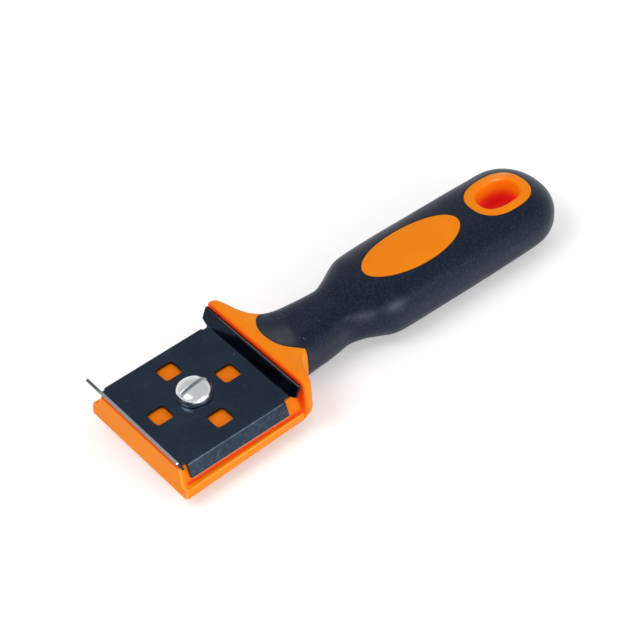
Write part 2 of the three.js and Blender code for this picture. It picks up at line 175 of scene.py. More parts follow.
# Pad and lining: points round them, rings of the pad, and the lining's edge in mm
PAD_POINTS, LINING_POINTS, MOUTH_STEPS = 144, 128, 9
PAD_SHARES = (1.0, 0.97, 0.9, 0.8, 0.68, 0.55, 0.42, 0.29, 0.17, 0.07)
LINING_INSETS, LINING_DROPS = (0.0, 0.0, 0.06, 0.16), (2.0, 0.16, 0.06, 0.0)
LINING_SHARES = (0.25, 0.65)

# Rows down the hang hole with their shares of painted shade and painted glow; both grow over the mouth
HOLE_SHARES = (0.12, 0.25, 0.37, 0.5, 0.63, 0.75, 0.88)
HOLE_SHADE, MOUTH_SHADE = (0.15, 0.4, 0.75, 1.0, 0.75, 0.4, 0.15), 0.1
HOLE_GLOW, MOUTH_GLOW = (0.5, 0.66, 0.84, 1.0, 0.84, 0.66, 0.5), 0.4

# Blade's grid in mm: half the cells of a window and lines over them, lines between them and by the bends
CELLS_HALF, CELL_LINES, BETWEEN_CELLS = 4.6, 13, 7.2
BY_EDGE_BEND, BY_SIDE_BEND = 20.45, (19.4, 20.3)
NEAR_CELLS, MIDDLE_CELLS, FAR_CELLS = (3, 15), (17, 29), (31, 43)
WINDOW_POWER = 6
BLADE_WINDOW_SHARES, SCREW_HOLE_SHARES = (0.5, 0.9, 1.0), (0.6, 1.0)
EDGE_BEND_STEPS, SIDE_BEND_STEPS, SIDE_RUN_STEPS = 8, 10, 5
ROOT_HEIGHT, FLARE_ROWS, LIP_ROWS = 0.12, (0.85, 1.1), (1.5, 2.2, 3.4, 4.6)

# Screw in mm: points across its head, the depth over which the slot runs out, the head's lower edge as
# insets and heights, and the thread's rows
OUTER_STEPS, SLOT_POINTS, HEAD_COLUMNS, SLOT_RUNOUT = 15, 5, 61, 0.4
# Painted shade on the rounds of the slot's edges, from the slot outwards
SLOT_EDGE_SHADE = (0.8, 0.45, 0.15)
HEAD_SIDE, SHANK_NECK = 0.45, 0.2
HEAD_EDGE = ((0.0, 0.25), (0.1, 0.1), (0.35, 0.0))
THREAD_START, THREAD_STEP, THREAD_END = -0.4, 0.125, 0.5
RUNOUT_LENGTH, RUNOUT_LEAST, TIP_SHARE = 0.8, 0.55, 0.9

# Bush in mm: heights from its ends and its middle, insets there, the knurl on its bands and its thread
BUSH_POINTS, BUSH_ENDS, BUSH_WAIST = 192, (0.0, 0.25, 0.5), (1.2, 0.8)
BUSH_INSETS, BUSH_KNURLED = (0.3, 0.0, 0.0, 0.0, 0.35), (0, 1, 1, 1, 0)
KNURLS, KNURL_DEPTH = 48, 0.14
BORE_THREAD, BORE_RUNOUT = 0.12, 0.5

# Angles in degrees above which an edge is shaded sharp
HEAD_SHARP, GRIP_SHARP, BLADE_SHARP, SCREW_SHARP, BUSH_SHARP = 38, 40, 35, 50, 40

# Small marks of use in mm: place and half sizes of each, and a scratch's lean in degrees
DUST_PATCHES = (((39.8, 4.0, 4.5), (2.8, 3.8, 3.0)), ((38.8, -7.7, 3.2), (2.0, 1.8, 3.0)))
DUST_HAZE = ((34.0, 0.0, 5.0), (6.0, 11.0, 5.0))
MOUTH_POLISH = ((136.0, 5.6, 4.4), (7.5, 2.6, 3.0))
POLISH = (((62.6, 11.4, 1.0), (6.6, 5.0, 4.2)), ((73.0, 15.0, 1.6), (6.0, 5.0, 4.2)))
RUST_SPOT = ((20.45, 5.34, 0.0), (0.5, 0.45, 1.0))
SCRATCHES = (
    ((-9.1, -23.45, -3.55), (0.11, 1.5, 2.5), 39),
    ((18.0, -23.4, -3.4), (0.22, 0.8, 0.75), 55),
    ((-18.4, -23.5, -3.9), (0.12, 0.8, 0.8), -25),
)

# Levels between which a mask rises from 0 to 1 over a noise: its usual range and a narrow one
NOISE_RANGE, FINE_RANGE = (0.3, 0.7), (0.35, 0.65)

# Noise masks: scale to the metre, detail, and the levels between which the mask rises
DUST_SPECKS = (1500.0, 1.0, 0.64, 0.72)
DUST_SPREAD = (55.0, 2.0, 0.42, 0.7)
DUST_FILM = (1200.0, 3.0, 0.5, 0.63)
BLUED_FLECKS = (900.0, 3.0, *FINE_RANGE)
RUBBED_SPOTS = (700.0, 4.0, 0.45, 0.75)

# Strengths of the dust on the rubber and of its polish
SPREAD_SHARE, SPECK_SHARE, HAZE_SHARE, FILM_SHARE = 0.22, 0.8, 0.25, 0.05
POLISH_WEIGHT = 0.55

# Lines and thin scratches of handling: stretch along each axis; scale, place and levels of the scratches
LINE_STRETCH, STREAK_STRETCH = (0.06, 1.0, 1.0), (0.35, 1.0, 0.12)
STREAK_SCALE, STREAK_PLACE, STREAK_RANGE = 420.0, (0.013, 0.021, 0.0), (0.70, 0.74)

# Finish of the blade in metres: bare bands back from the tips of the lips, and the levels between which
# the masks of the worn lip, the lips' worn length, the side lips and the painted shade on the rear lip
# rise
GROUND_BAND, SHEARED_BAND = (0.00030, 0.00012), (0.00024, 0.00012)
WORN_RANGE, KEPT_RANGE = (0.01, -0.01), (0.0195, 0.0155)
SIDE_RANGE, REAR_SHADE_RANGE, REAR_SHADE_FOOT_RANGE = (-0.00005, -0.0005), (0.0210, 0.0222), (0.0, 0.0008)
LEAST_WORN, LEAST_KEPT, SHEARED_SHARE = 0.3, 0.35, 0.8

# Painted glow: below this it lights the plastic from inside, and above it the plastic is also painted red
HALF_GLOW = 0.5
BLACK, WHITE = (0.0, 0.0, 0.0, 1.0), (1.0, 1.0, 1.0, 1.0)

# Stage in metres: the floor, the band in which the surroundings fall off, and the lamps with their
# setting, direction and size
FLOOR_HALF, FLOOR_GAP, FLOOR_GLOW = 4.0, 0.0002, 0.26
SKY_RANGE = (0.05, 0.62)
LAMP_DISTANCE = 0.9
LAMPS = (
    ("Left Light", "left_power", (-0.555, 0.098, 0.827), 0.42),
    ("Right Light", "right_power", (0.14, -0.91, 0.38), 0.42),
    ("Low Light", "low_power", (-0.28, -0.95, 0.14), 0.22),
)


def length(name, description, default):
    """A size in metres, shown in the scene's units."""
    return FloatProperty(name=name, description=description, default=default, unit="LENGTH", precision=5)


def angle(name, description, degrees):
    """An angle, kept in radians."""
    radians = math.radians(degrees)
    return FloatProperty(name=name, description=description, default=radians, subtype="ANGLE")


def number(name, description, default):
    """A plain number, such as a slope, a level or the power of an outline."""
    return FloatProperty(name=name, description=description, default=default)


def lamp_power(name, description, watts):
    """The power of a lamp."""
    return FloatProperty(name=name, description=description, default=watts, unit="POWER")


def colour(name, description, default):
    """A linear base colour."""
    return FloatVectorProperty(
        name=name, description=description, default=default, size=3, min=0.0, max=1.0, subtype="COLOR")


class HeadSizes(PropertyGroup):
    """Head of the handle: the rim, the seat under the blade and the wall behind it."""

    front: length("Front", "Foot of the front face, from the screw's axis", -0.0240)
    front_lean: length("Front lean", "How far the front face leans back at the seat", 0.0017)
    rear: length("Rear", "End of the rim behind the wall", 0.0296)
    bottom: length("Underside", "Underside of the head, from the blade's upper face", -0.0120)
    rim_top: length("Rim top", "Upper face of the rim", -0.0077)
    rim_front: length("Rim at the front", "Half width of the rim at the front", 0.02575)
    rim_rear: length("Rim at the rear", "Half width of the rim at the rear", 0.0239)
    front_draft: number("Front draft", "Slope of the rim's side at the front", 0.05)
    rear_draft: number("Rear draft", "Slope of the rim's side at the rear", 0.2)
    rim_turn: length("Rim turn", "Where the rim starts to turn in towards its end", 0.0245)
    rim_turn_depth: length("Rim turn depth", "How far the rim turns in at its end", 0.0042)
    edge_round: length("Edge round", "Length over which the rim's edges are rounded", 0.0008)
    front_round: length("Front round", "Rounding round the front face", 0.0008)
    seat_foot: length("Seat foot", "Half width of the seat where it meets the rim", 0.0236)
    seat_top_half: length("Seat width", "Half width of the seat's upper face", 0.0211)
    seat_top: length("Seat top", "Upper face of the seat", -0.0013)
    wall: length("Wall", "Front of the wall behind the blade", 0.0252)
    wall_fillet: length("Wall fillet", "Fillet where the wall stands on the seat", 0.0005)
    wall_round: length("Wall round", "Rounding of the wall's upper edge", 0.0011)
    pocket_radius: length("Pocket radius", "Radius of the pocket for the bush", 0.0045)
    pocket_bottom: length("Pocket bottom", "Bottom of the pocket for the bush", -0.0102)


class GripSizes(PropertyGroup):
    """Soft sleeve, its tongue, the oval pad and the lining of the hang hole."""

    sleeve_front: length("Sleeve front", "Where the sleeve starts on the sides of the neck", 0.0376)
    tongue_tip: length("Tongue tip", "Where the sleeve's tongue ends on the collar", 0.0296)
    tongue_half: length("Tongue half width", "Half width of the tongue at its root", 0.0108)
    thickness: length("Sleeve thickness", "Thickness of the soft sleeve", 0.0023)
    seam: length("Seam", "Half the gap between the sleeve and the core", 0.00005)
    lip_round: length("Lip round", "Rounding of the sleeve's edges", 0.00016)
    pad_x: length("Pad place", "Middle of the oval pad", 0.0926)
    pad_half_length: length("Pad half length", "Half length of the oval pad", 0.02055)
    pad_half_width: length("Pad half width", "Half width of the oval pad", 0.0093)
    hole_x: length("Hole place", "Middle of the hang hole", 0.13175)
    lining_half_length: length("Lining half length", "Half length of the hole's lining", 0.01205)
    lining_half_width: length("Lining half width", "Half width of the hole's lining", 0.0096)
    hole_half_length: length("Hole half length", "Half length of the hang hole", 0.0082)
    hole_half_width: length("Hole half width", "Half width of the hang hole", 0.0059)
    mouth_round: length("Mouth round", "Rounding of the hole's mouth", 0.0020)
    pad_power: number("Pad outline", "Squareness of the pad's oval", 2.0)
    lining_power: number("Lining outline", "Squareness of the lining's oval", 2.4)
    hole_power: number("Hole outline", "Squareness of the hole's oval", 2.6)


class BladeSizes(PropertyGroup):
    """Bent sheet of the blade."""

    thickness: length("Thickness", "Thickness of the sheet", 0.0010)
    bend_radius: length("Bend radius", "Inner radius of the bends", 0.0005)
    edge_start: length("Edge lip start", "Where the scraping lips start to bend up", 0.0212)
    edge_angle: angle("Edge lip angle", "Angle through which the scraping lips are bent up", 66.0)
    edge_height: length("Edge lip height", "Height of the scraping lips", 0.0055)
    edge_half: length("Edge lip half width", "Half width of the scraping lips", 0.0245)
    edge_root: length("Edge lip root", "Half width of the scraping lips at the bend", 0.0216)
    flare_low: length("Flare start", "Height where the lips start to widen", 0.0003)
    flare_high: length("Flare end", "Height where the lips have their full width", 0.0013)
    side_start: length("Side lip start", "Where the side lips start to bend down", 0.0212)
    side_angle: angle("Side lip angle", "Angle through which the side lips are bent down", 72.0)
    side_drop: length("Side lip drop", "Depth of the side lips", 0.0056)
    side_half: length("Side lip half length", "Half length of the side lips", 0.0197)
    window_offset: length("Window offset", "Distance of the windows from the screw", 0.01375)
    window_side: length("Window side", "Side of the square windows", 0.0067)
    hole_radius: length("Screw hole", "Radius of the screw hole", 0.0033)
    edge_break: length("Edge break", "Rounding of the cut edges", 0.00009)


class ScrewSizes(PropertyGroup):
    """Slotted pan-head screw and the bush that it turns in."""

    head_radius: length("Head radius", "Radius of the screw's head", 0.0063)
    head_under: length("Head underside", "Underside of the head, from the blade", 0.0001)
    head_edge: length("Head edge", "Height where the head's side starts to round over", 0.0005)
    head_top: length("Head top", "Top of the head, from the blade", 0.0044)
    head_power: number("Head outline", "Squareness of the head's rounding", 2.6)
    slot_width: length("Slot width", "Width of the slot", 0.0014)
    slot_depth: length("Slot depth", "Depth of the slot", 0.0015)
    slot_round: length("Slot round", "Rounding of the slot's edges", 0.00022)
    slot_turn: angle("Slot turn", "Angle of the slot to the tool", 5.5)
    shank_radius: length("Shank radius", "Radius over the thread", 0.00285)
    thread_depth: length("Thread depth", "Depth of the thread", 0.00045)
    pitch: length("Pitch", "Rise of the thread in one turn", 0.0010)
    tip: length("Tip", "End of the shank", -0.0094)
    bush_radius: length("Bush radius", "Outer radius of the bush", 0.0042)
    bush_bore: length("Bush bore", "Radius of the bush's bore", 0.00315)
    bush_top: length("Bush top", "Upper face of the bush", -0.0016)
    bush_bottom: length("Bush bottom", "Lower face of the bush", -0.0099)


class Finishes(PropertyGroup):
    """Base colours of the finishes."""

    orange: colour("Orange plastic", "Moulded plastic of the core", (0.93, 0.25, 0.004))
    # Painted shade: redder plastic in hollows, on the seat under the blade and on the wall behind it
    deep_orange: colour("Deep orange", "Plastic in hollows lit by plastic", (0.90, 0.055, 0.004))
    # Painted shade: deep red plastic down the hang hole, where the painted glow is strong
    hole_shade_red: colour("Hole red", "Plastic lit only by light through it", (0.86, 0.014, 0.022))
    # Painted highlight: lighter plastic on rounded edges
    edge_orange: colour("Edge orange", "Plastic on rounded edges that catch the light", (1.0, 0.46, 0.07))
    rubber: colour("Black rubber", "Soft rubber of the sleeve", (0.0014, 0.0058, 0.0135))
    blued: colour("Blued steel", "Dark finish of the blade", (0.036, 0.053, 0.083))
    bare: colour("Bare steel", "Ground ends of the scraping lips", (0.50, 0.50, 0.51))
    zinc: colour("Zinc", "Plating of the screw", (0.84, 0.87, 0.90))
    # Painted shade: darker metal in the screw's slot
    slot: colour("Slot", "Dull metal in the screw's slot", (0.57, 0.61, 0.66))
    brass: colour("Brass", "Turned brass of the bush", (0.60, 0.42, 0.16))
    dust: colour("Dust", "Pale specks on the rubber", (0.22, 0.22, 0.21))
    rust: colour("Rust", "Small brown spot on the blade", (0.22, 0.10, 0.065))
    floor: colour("Floor", "Pale floor under the tool", (0.92, 0.92, 0.92))


class StageSettings(PropertyGroup):
    """Camera at the photograph's viewing angle, and soft studio light."""

    azimuth: angle("Azimuth", "Turn of the camera about the upright", -35.879)
    elevation: angle("Elevation", "Height of the camera above the level", 45.168)
    roll: angle("Roll", "Turn of the camera about its own axis", -4.924)
    distance: length("Distance", "Distance of the camera along its axis", 0.77241)
    offset_x: length("Offset across", "Place of the screw's axis across the view", -0.040152)
    offset_y: length("Offset up", "Place of the screw's axis up the view", -0.024106)
    focal_pixels: number("Focal length", "Focal length in photo pixels", 2400.6)
    left_power: lamp_power("Left light", "Power of the high light on the left", 2.2)
    right_power: lamp_power("Right light", "Power of the light on the right", 2.2)
    low_power: lamp_power("Low light", "Power of the low light at the front", 0.5)
    horizon: number("Horizon", "Level of the surroundings at the horizon", 0.95)
    zenith: number("Zenith", "Level of the surroundings overhead", 0.60)


SETTINGS = {
    "scraper_head": HeadSizes,
    "scraper_grip": GripSizes,
    "scraper_blade": BladeSizes,
    "scraper_screw": ScrewSizes,
    "scraper_finishes": Finishes,
    "scraper_stage": StageSettings,
}


def in_mm(group):
    """The values of a settings group, with lengths in millimetres."""
    values = {}
    for prop in group.bl_rna.properties:
        if prop.identifier in {"rna_type", "name"}:
            continue
        value = getattr(group, prop.identifier)
        values[prop.identifier] = value * 1000 if prop.unit == "LENGTH" else value
    return SimpleNamespace(**values)


def frame_origin():
    """Where the screw's axis meets the blade's upper face, in the frame, in metres."""
    lip_height = bpy.context.scene.scraper_blade.edge_height
    x = (SCREW_LOW.x + SCREW_HIGH.x) / 2
    y = (SCREW_LOW.y + SCREW_HIGH.y) / 2
    return np.array([x, y, LIP_TOP - lip_height])


class Skin:
    """Vertices and faces of one piece, gathered as whole index arrays."""

    def __init__(self):
        self.points = []
        self.painted_lights = []
        self.glows = []
        self.quads = []
        self.triangles = []
        self.count = 0

    def add(self, points, cavity=0.0, glow=0.0):
        """Adds an array of points with their shares of cavity and glow; returns an array of indices."""
        # The shares of painted light are painted shade above 0 and painted highlight below 0; glow is a
        # painted glow
        points = np.asarray(points, float)
        size = points[..., 0].size
        index = self.count + np.arange(size).reshape(points.shape[:-1])
        self.points.append(points.reshape(-1, 3))
        self.painted_lights.append(np.broadcast_to(cavity, points.shape[:-1]).reshape(-1))
        self.glows.append(np.broadcast_to(glow, points.shape[:-1]).reshape(-1))
        self.count += size
        return index

    def bridge(self, first, second, closed=True):
        """Quads between two rows of the same length."""
        if closed:
            first, second = np.append(first, first[0]), np.append(second, second[0])
        self.quads.append(np.stack([first[:-1], first[1:], second[1:], second[:-1]], axis=-1))

    def sheet(self, index, closed=True, blocks=()):
        """Quads over a grid of rows, leaving out the cells of some blocks (row, row, column, column)."""
        grid = np.concatenate([index, index[:, :1]], axis=1) if closed else index
        corners = [grid[:-1, :-1], grid[:-1, 1:], grid[1:, 1:], grid[1:, :-1]]
        keep = np.ones(corners[0].shape, bool)
        for r0, r1, c0, c1 in blocks:
            keep[r0:r1, c0:c1] = False
        self.quads.append(np.stack(corners, axis=-1)[keep])

    def start_fan(self, centre, row):
        """Triangles from a point to the row that follows it."""
        after = np.roll(row, -1)
        self.triangles.append(np.stack([np.full_like(row, centre), after, row], axis=-1))

    def end_fan(self, row, centre):
        """Triangles from a row to the point that closes it."""
        after = np.roll(row, -1)
        self.triangles.append(np.stack([row, after, np.full_like(row, centre)], axis=-1))

    def window(self, index, block, outline, lift, shares):
        """Rings between the edge of a block of cells and a closed outline inside it.

        A point of the block's edge moves straight to its point of the outline in plan; lift puts each
        ring on the surface. Returns the indices of the last ring, which is the outline.
        """
        r0, r1, c0, c1 = block
        loop = np.concatenate([
            index[r0, c0:c1], index[r0:r1, c1], index[r1, c1:c0:-1], index[r1:r0:-1, c0]])
        start = np.concatenate(self.points)[loop][:, :2]
        target = outline(start)
        plan = start + (target - start) * np.asarray(shares)[:, None, None]
        rings = self.add(lift(plan))
        self.bridge(loop, rings[0])
        self.sheet(rings)
        return rings[-1]

    def piece(self, name, outward=True):
        """The Blender object: millimetres become metres in the frame, doubles are merged."""
        mesh = bpy.data.meshes.new(name)
        points = np.concatenate(self.points) / 1000 + frame_origin()
        faces = np.concatenate(self.quads).tolist() if self.quads else []
        faces += np.concatenate(self.triangles).tolist() if self.triangles else []
        mesh.from_pydata(points.tolist(), [], faces)
        # Painted light and painted glow are stored on the mesh for its material
        for label, shares in (("cavity", self.painted_lights), ("glow", self.glows)):
            layer = mesh.attributes.new(label, "FLOAT", "POINT")
            layer.data.foreach_set("value", np.concatenate(shares).astype(np.float32))
        work = bmesh.new()
        work.from_mesh(mesh)
        bmesh.ops.remove_doubles(work, verts=work.verts, dist=MERGE_DISTANCE)
        if outward:
            bmesh.ops.recalc_face_normals(work, faces=work.faces)
        work.to_mesh(mesh)
        work.free()
        mesh.validate()
        thing = bpy.data.objects.new(name, mesh)
        bpy.context.scene.collection.objects.link(thing)
        return thing


def settle(thing, sharp_degrees):
    """Makes a piece's modifiers part of its mesh and shades it smooth up to an angle."""
    graph = bpy.context.evaluated_depsgraph_get()
    rough = thing.data
    mesh = bpy.data.meshes.new_from_object(thing.evaluated_get(graph))
    mesh.name = thing.name
    thing.modifiers.clear()
    thing.data = mesh
    bpy.data.meshes.remove(rough)
    mesh.shade_smooth()
    mesh.set_sharp_from_angle(angle=math.radians(sharp_degrees))
    return thing


def thicken(thing, thickness_mm, round_mm):
    """Gives a surface its thickness away from its normals and rounds the edges that this leaves."""
    solidify = thing.modifiers.new("Thickness", "SOLIDIFY")
    solidify.thickness = thickness_mm / 1000
    solidify.offset = -1
    solidify.use_even_offset = True
    solidify.use_quality_normals = True
    bevel = thing.modifiers.new("Edges", "BEVEL")
    bevel.width = round_mm / 1000
    bevel.segments = BEVEL_SEGMENTS
    bevel.limit_method = "ANGLE"
    bevel.angle_limit = math.radians(BEVEL_DEGREES)
    bevel.use_clamp_overlap = True


def station(x, column):
    """Column of STATIONS at x: cubic pieces whose tangents are the harmonic means of the slopes."""
    table_x, value = STATIONS[:, 0], STATIONS[:, column]
    slope = np.diff(value) / np.diff(table_x)
    product, total = slope[:-1] * slope[1:], slope[:-1] + slope[1:]
    tangent = np.zeros(len(table_x))
    tangent[1:-1] = np.where(product > 0, 2 * product / np.where(product > 0, total, 1), 0)
    x = np.clip(x, table_x[0], table_x[-1])
    k = np.clip(np.searchsorted(table_x, x, side="right") - 1, 0, len(table_x) - 2)
    width = table_x[k + 1] - table_x[k]
    t = (x - table_x[k]) / width
    return (
        (1 + 2 * t) * (1 - t) ** 2 * value[k]
        + t * (1 - t) ** 2 * width * tangent[k]
        + t ** 2 * (3 - 2 * t) * value[k + 1]
        + t ** 2 * (t - 1) * width * tangent[k + 1])


def handle_halves(x, inset=0.0):
    """Half width, half height and middle height of the handle's section at x, set in all round.

    Towards the end both halves shrink as (1 - share^power)^(1/power), the share running from 0 where
    the rounding starts to 1 at the end.
    """
    plan = np.clip((x - END_PLAN_START) / (END_X - END_PLAN_START), 0, 1)
    side = np.clip((x - END_SIDE_START) / (END_X - END_SIDE_START), 0, 1)
    top, bottom = station(x, TOP), station(x, BOTTOM)
    width = (station(x, HALF_WIDTH) - inset) * (1 - plan ** END_PLAN_POWER) ** (1 / END_PLAN_POWER)
    height = ((top - bottom) / 2 - inset) * (1 - side ** END_SIDE_POWER) ** (1 / END_SIDE_POWER)
    return np.maximum(width, THINNEST), np.maximum(height, THINNEST), (top + bottom) / 2


def centre_height(x):
    """Height of the line that sections are swept about: low in the head, then the section's middle."""
    share = np.clip((x - SWEEP_RISE_START) / SWEEP_RISE_LENGTH, 0, 1)
    share = share * share * (3 - 2 * share)
    return HEAD_CENTRE_Z + share * ((station(x, TOP) + station(x, BOTTOM)) / 2 - HEAD_CENTRE_Z)


def handle_radius(x, turn, inset=0.0):
    """Distance from the sweep line to the handle's section in the direction turn, by halving.

    The section is |y/w|^p + |z/h|^p = 1, with one power above its middle and one below.
    """
    x, turn = np.broadcast_arrays(np.asarray(x, float), np.asarray(turn, float))
    width, height, middle = handle_halves(x, inset)
    upper, lower = station(x, UPPER_POWER), station(x, LOWER_POWER)
    rise = centre_height(x) - middle
    low, high = np.zeros(x.shape), np.full(x.shape, FARTHEST)
    for _ in range(HALVINGS):
        radius = (low + high) / 2
        z = rise + radius * np.sin(turn)
        power = np.where(z >= 0, upper, lower)
        reach = (np.abs(radius * np.cos(turn)) / width) ** power + (np.abs(z) / height) ** power
        low, high = np.where(reach < 1, radius, low), np.where(reach < 1, high, radius)
    return (low + high) / 2


def swept(x, turn, radius):
    """Points at a distance from the sweep line: y = r cos(turn), z = centre + r sin(turn)."""
    x, turn, radius = np.broadcast_arrays(x, turn, radius)
    return np.stack([x, radius * np.cos(turn), centre_height(x) + radius * np.sin(turn)], axis=-1)


def handle_face(plan, side):
    """Points of the handle's upper (side 1) or lower (side -1) face over points (x, y) in plan."""
    x, y = plan[..., 0], plan[..., 1]
    width, height, middle = handle_halves(x)
    power = station(x, UPPER_POWER if side > 0 else LOWER_POWER)
    rise = np.maximum(1 - np.minimum(np.abs(y) / width, 1) ** power, 0) ** (1 / power)
    return np.stack([x, y, middle + side * height * rise], axis=-1)


def oval_towards(middle, halves, power):
    """Maps points in plan to the oval |x/a|^p + |y/b|^p = 1, straight towards its middle."""
    middle, halves = np.array(middle), np.array(halves)

    def outline(plan):
        direction = (plan - middle) / halves
        scale = (np.abs(direction) ** power).sum(axis=-1, keepdims=True) ** (-1 / power)
        return middle + halves * direction * scale

    return outline


def circle_towards(radius):
    """Maps points in plan to a circle about the screw's axis, straight towards it."""
    return oval_towards((0.0, 0.0), (radius, radius), 2)


def level_at(height):
    """Puts points in plan on a level face."""
    def lift(plan):
        return np.concatenate([plan, np.full(plan.shape[:-1] + (1,), height)], axis=-1)

    return lift


def sleeve_edge(turn, grip):
    """x where the sleeve starts in each direction: the tongue's half oval on top, else a flat cut."""
    reach = grip.sleeve_front - grip.tongue_tip
    low, high = np.full(turn.shape, grip.tongue_tip), np.full(turn.shape, grip.sleeve_front)
    for _ in range(EDGE_HALVINGS):
        x = (low + high) / 2
        y = handle_radius(x, turn) * np.cos(turn)
        outside = ((x - grip.sleeve_front) / reach) ** 2 + (y / grip.tongue_half) ** 2 > 1
        low, high = np.where(outside, x, low), np.where(outside, high, x)
    return np.where(np.sin(turn) > 0, high, grip.sleeve_front)


def tongue_corner(grip):
    """Direction in which the tongue's edge meets the flat cut of the sleeve."""
    turns = np.radians(np.linspace(*TONGUE_SEARCH_DEGREES, TONGUE_SEARCH_STEPS))
    y = handle_radius(grip.sleeve_front, turns) * np.cos(turns)
    return np.interp(-grip.tongue_half, -y, turns)


def corner_arc(before, corner, after, cut, steps):
    """Rounded corner: the parabola from a cut before the corner to a cut after it."""
    def towards(other):
        away = other - corner
        return corner + cut * away / np.linalg.norm(away, axis=-1, keepdims=True)

    t = np.linspace(0, 1, steps)[:, None]
    first, last = towards(before)[..., None, :], towards(after)[..., None, :]
    return (1 - t) ** 2 * first + 2 * t * (1 - t) * corner[..., None, :] + t ** 2 * last


def head_profile(x, head, corner_turn):
    """Right half of the head's section at each x, from the underside's middle to the seat's middle.

    Underside, rim with two rounded edges, hollow corner at the foot of the seat, sloped side, rounded
    shoulder and flat seat; the seat's points are spread evenly in direction from the sweep line.
    """
    share = (x - head.front) / (head.rear - head.front)
    turned = np.clip((x - head.rim_turn) / (head.rear - head.rim_turn), 0, 1)
    turn_in = head.rim_turn_depth * (1 - np.sqrt(1 - turned ** 2))

    def rim(height):
        front = head.rim_front + head.front_draft * height
        rear = head.rim_rear + head.rear_draft * height
        return front + (rear - front) * share - turn_in

    def spot(y, z):
        return np.stack(np.broadcast_arrays(y, z, x), axis=-1)[..., :2]

    start, end = spot(0.0, head.bottom), spot(0.0, head.seat_top)
    low = spot(rim(0.0), head.bottom)
    brim = spot(rim(head.rim_top - head.bottom), head.rim_top)
    foot = spot(head.seat_foot, head.rim_top)
    shoulder = spot(head.seat_top_half, head.seat_top)
    low_arc = corner_arc(start, low, brim, head.edge_round, LOW_STEPS)
    brim_arc = corner_arc(low, brim, foot, head.edge_round * BRIM_ROUND_SHARE, len(BRIM_LIT))
    foot_arc = corner_arc(brim, foot, shoulder, FOOT_ROUND, len(FOOT_SHADE))
    shoulder_arc = corner_arc(foot, shoulder, end, SHOULDER_ROUND, SHOULDER_STEPS)
    level = low_arc[..., :1, :] - start[..., None, :]
    floor = start[..., None, :] + level * np.array(FLOOR_SHARES)[:, None]
    rising = shoulder_arc[..., :1, :] - foot_arc[..., -1:, :]
    slope = foot_arc[..., -1:, :] + rising * np.array(SLOPE_SHARES)[:, None]
    rise = head.seat_top - HEAD_CENTRE_Z
    first = math.atan2(rise, head.seat_top_half - SHOULDER_ROUND)
    turns = np.concatenate([
        np.linspace(first, corner_turn, SIDE_TURNS)[1:],
        np.linspace(corner_turn, math.pi / 2, TONGUE_TURNS)[1:]])
    seat_y = rise / np.tan(turns)
    flat = np.stack(np.broadcast_arrays(seat_y, head.seat_top, x[:, None]), axis=-1)[..., :2]
    half = np.concatenate([floor, low_arc, brim_arc, foot_arc, slope, shoulder_arc, flat], axis=-2)
    # Painted light along the section: painted highlight on the brim's rounded edge, painted shade round
    # the seat's foot, up its slope and on the seat under the blade
    hollow = np.concatenate([
        np.zeros(len(FLOOR_SHARES) + LOW_STEPS), BRIM_LIT, FOOT_SHADE, SLOPE_SHADE,
        np.zeros(SHOULDER_STEPS), np.full(len(turns), SEAT_SHADE)])
    return half, hollow


def whole_section(half):
    """Closed section from its right half: the left half is the mirror image, in reverse order."""
    mirror = half[..., -2:0:-1, :] * np.array([-1.0, 1.0])
    return np.concatenate([half, mirror], axis=-2)


def at(x, section):
    """Points of sections (y, z) put at their places along the tool."""
    return np.concatenate([np.broadcast_to(x, section.shape[:-1])[..., None], section], axis=-1)


def front_face(edge, head):
    """Rows of the front face: rings out from its middle, then a quarter round to the first section."""
    along = np.roll(edge, -1, axis=0) - np.roll(edge, 1, axis=0)
    inward = np.stack([-along[:, 1], along[:, 0]], axis=-1) / np.linalg.norm(along, axis=1, keepdims=True)
    fold = QUARTER[:0:-1, None]
    rounded = edge + head.front_round * (1 - np.cos(fold))[..., None] * inward
    rounded_x = head.front + head.front_round * (1 - np.sin(fold))
    cap = HEAD_CENTRE + (rounded[0] - HEAD_CENTRE) * np.array(CAP_SHARES)[:, None, None]
    return np.concatenate([at(np.full((len(cap), 1), head.front), cap), at(rounded_x, rounded)])


def front_lean(z, head):
    """How far the front face leans back at a height."""
    return head.front_lean * (z - head.bottom) / (head.seat_top - head.bottom)


def wall_rows(base, rise, head):
    """Rows up the wall behind the blade (x, distance from the sweep line), and the x of its crest.

    A quarter-circle fillet at the foot, the flat face and a quarter round at the crest; where the wall
    is low, both rounds shrink with it.
    """
    crest = base + rise
    fillet = np.minimum(head.wall_fillet, ROUND_LIMIT * rise)
    round_over = np.minimum(head.wall_round, ROUND_LIMIT * rise)
    up = COARSE_QUARTER[:, None]
    fillet_x = head.wall - fillet + fillet * np.sin(up)
    fillet_r = base + fillet * (1 - np.cos(up))
    face_r = base + fillet + (rise - fillet - round_over) * np.array(WALL_SHARES)[:, None]
    over = QUARTER[:, None]
    round_x = head.wall + round_over * (1 - np.cos(over))
    round_r = crest - round_over + round_over * np.sin(over)
    x = np.concatenate([fillet_x, np.full(face_r.shape, head.wall), round_x])
    return x, np.concatenate([fillet_r, face_r, round_r]), head.wall + round_over


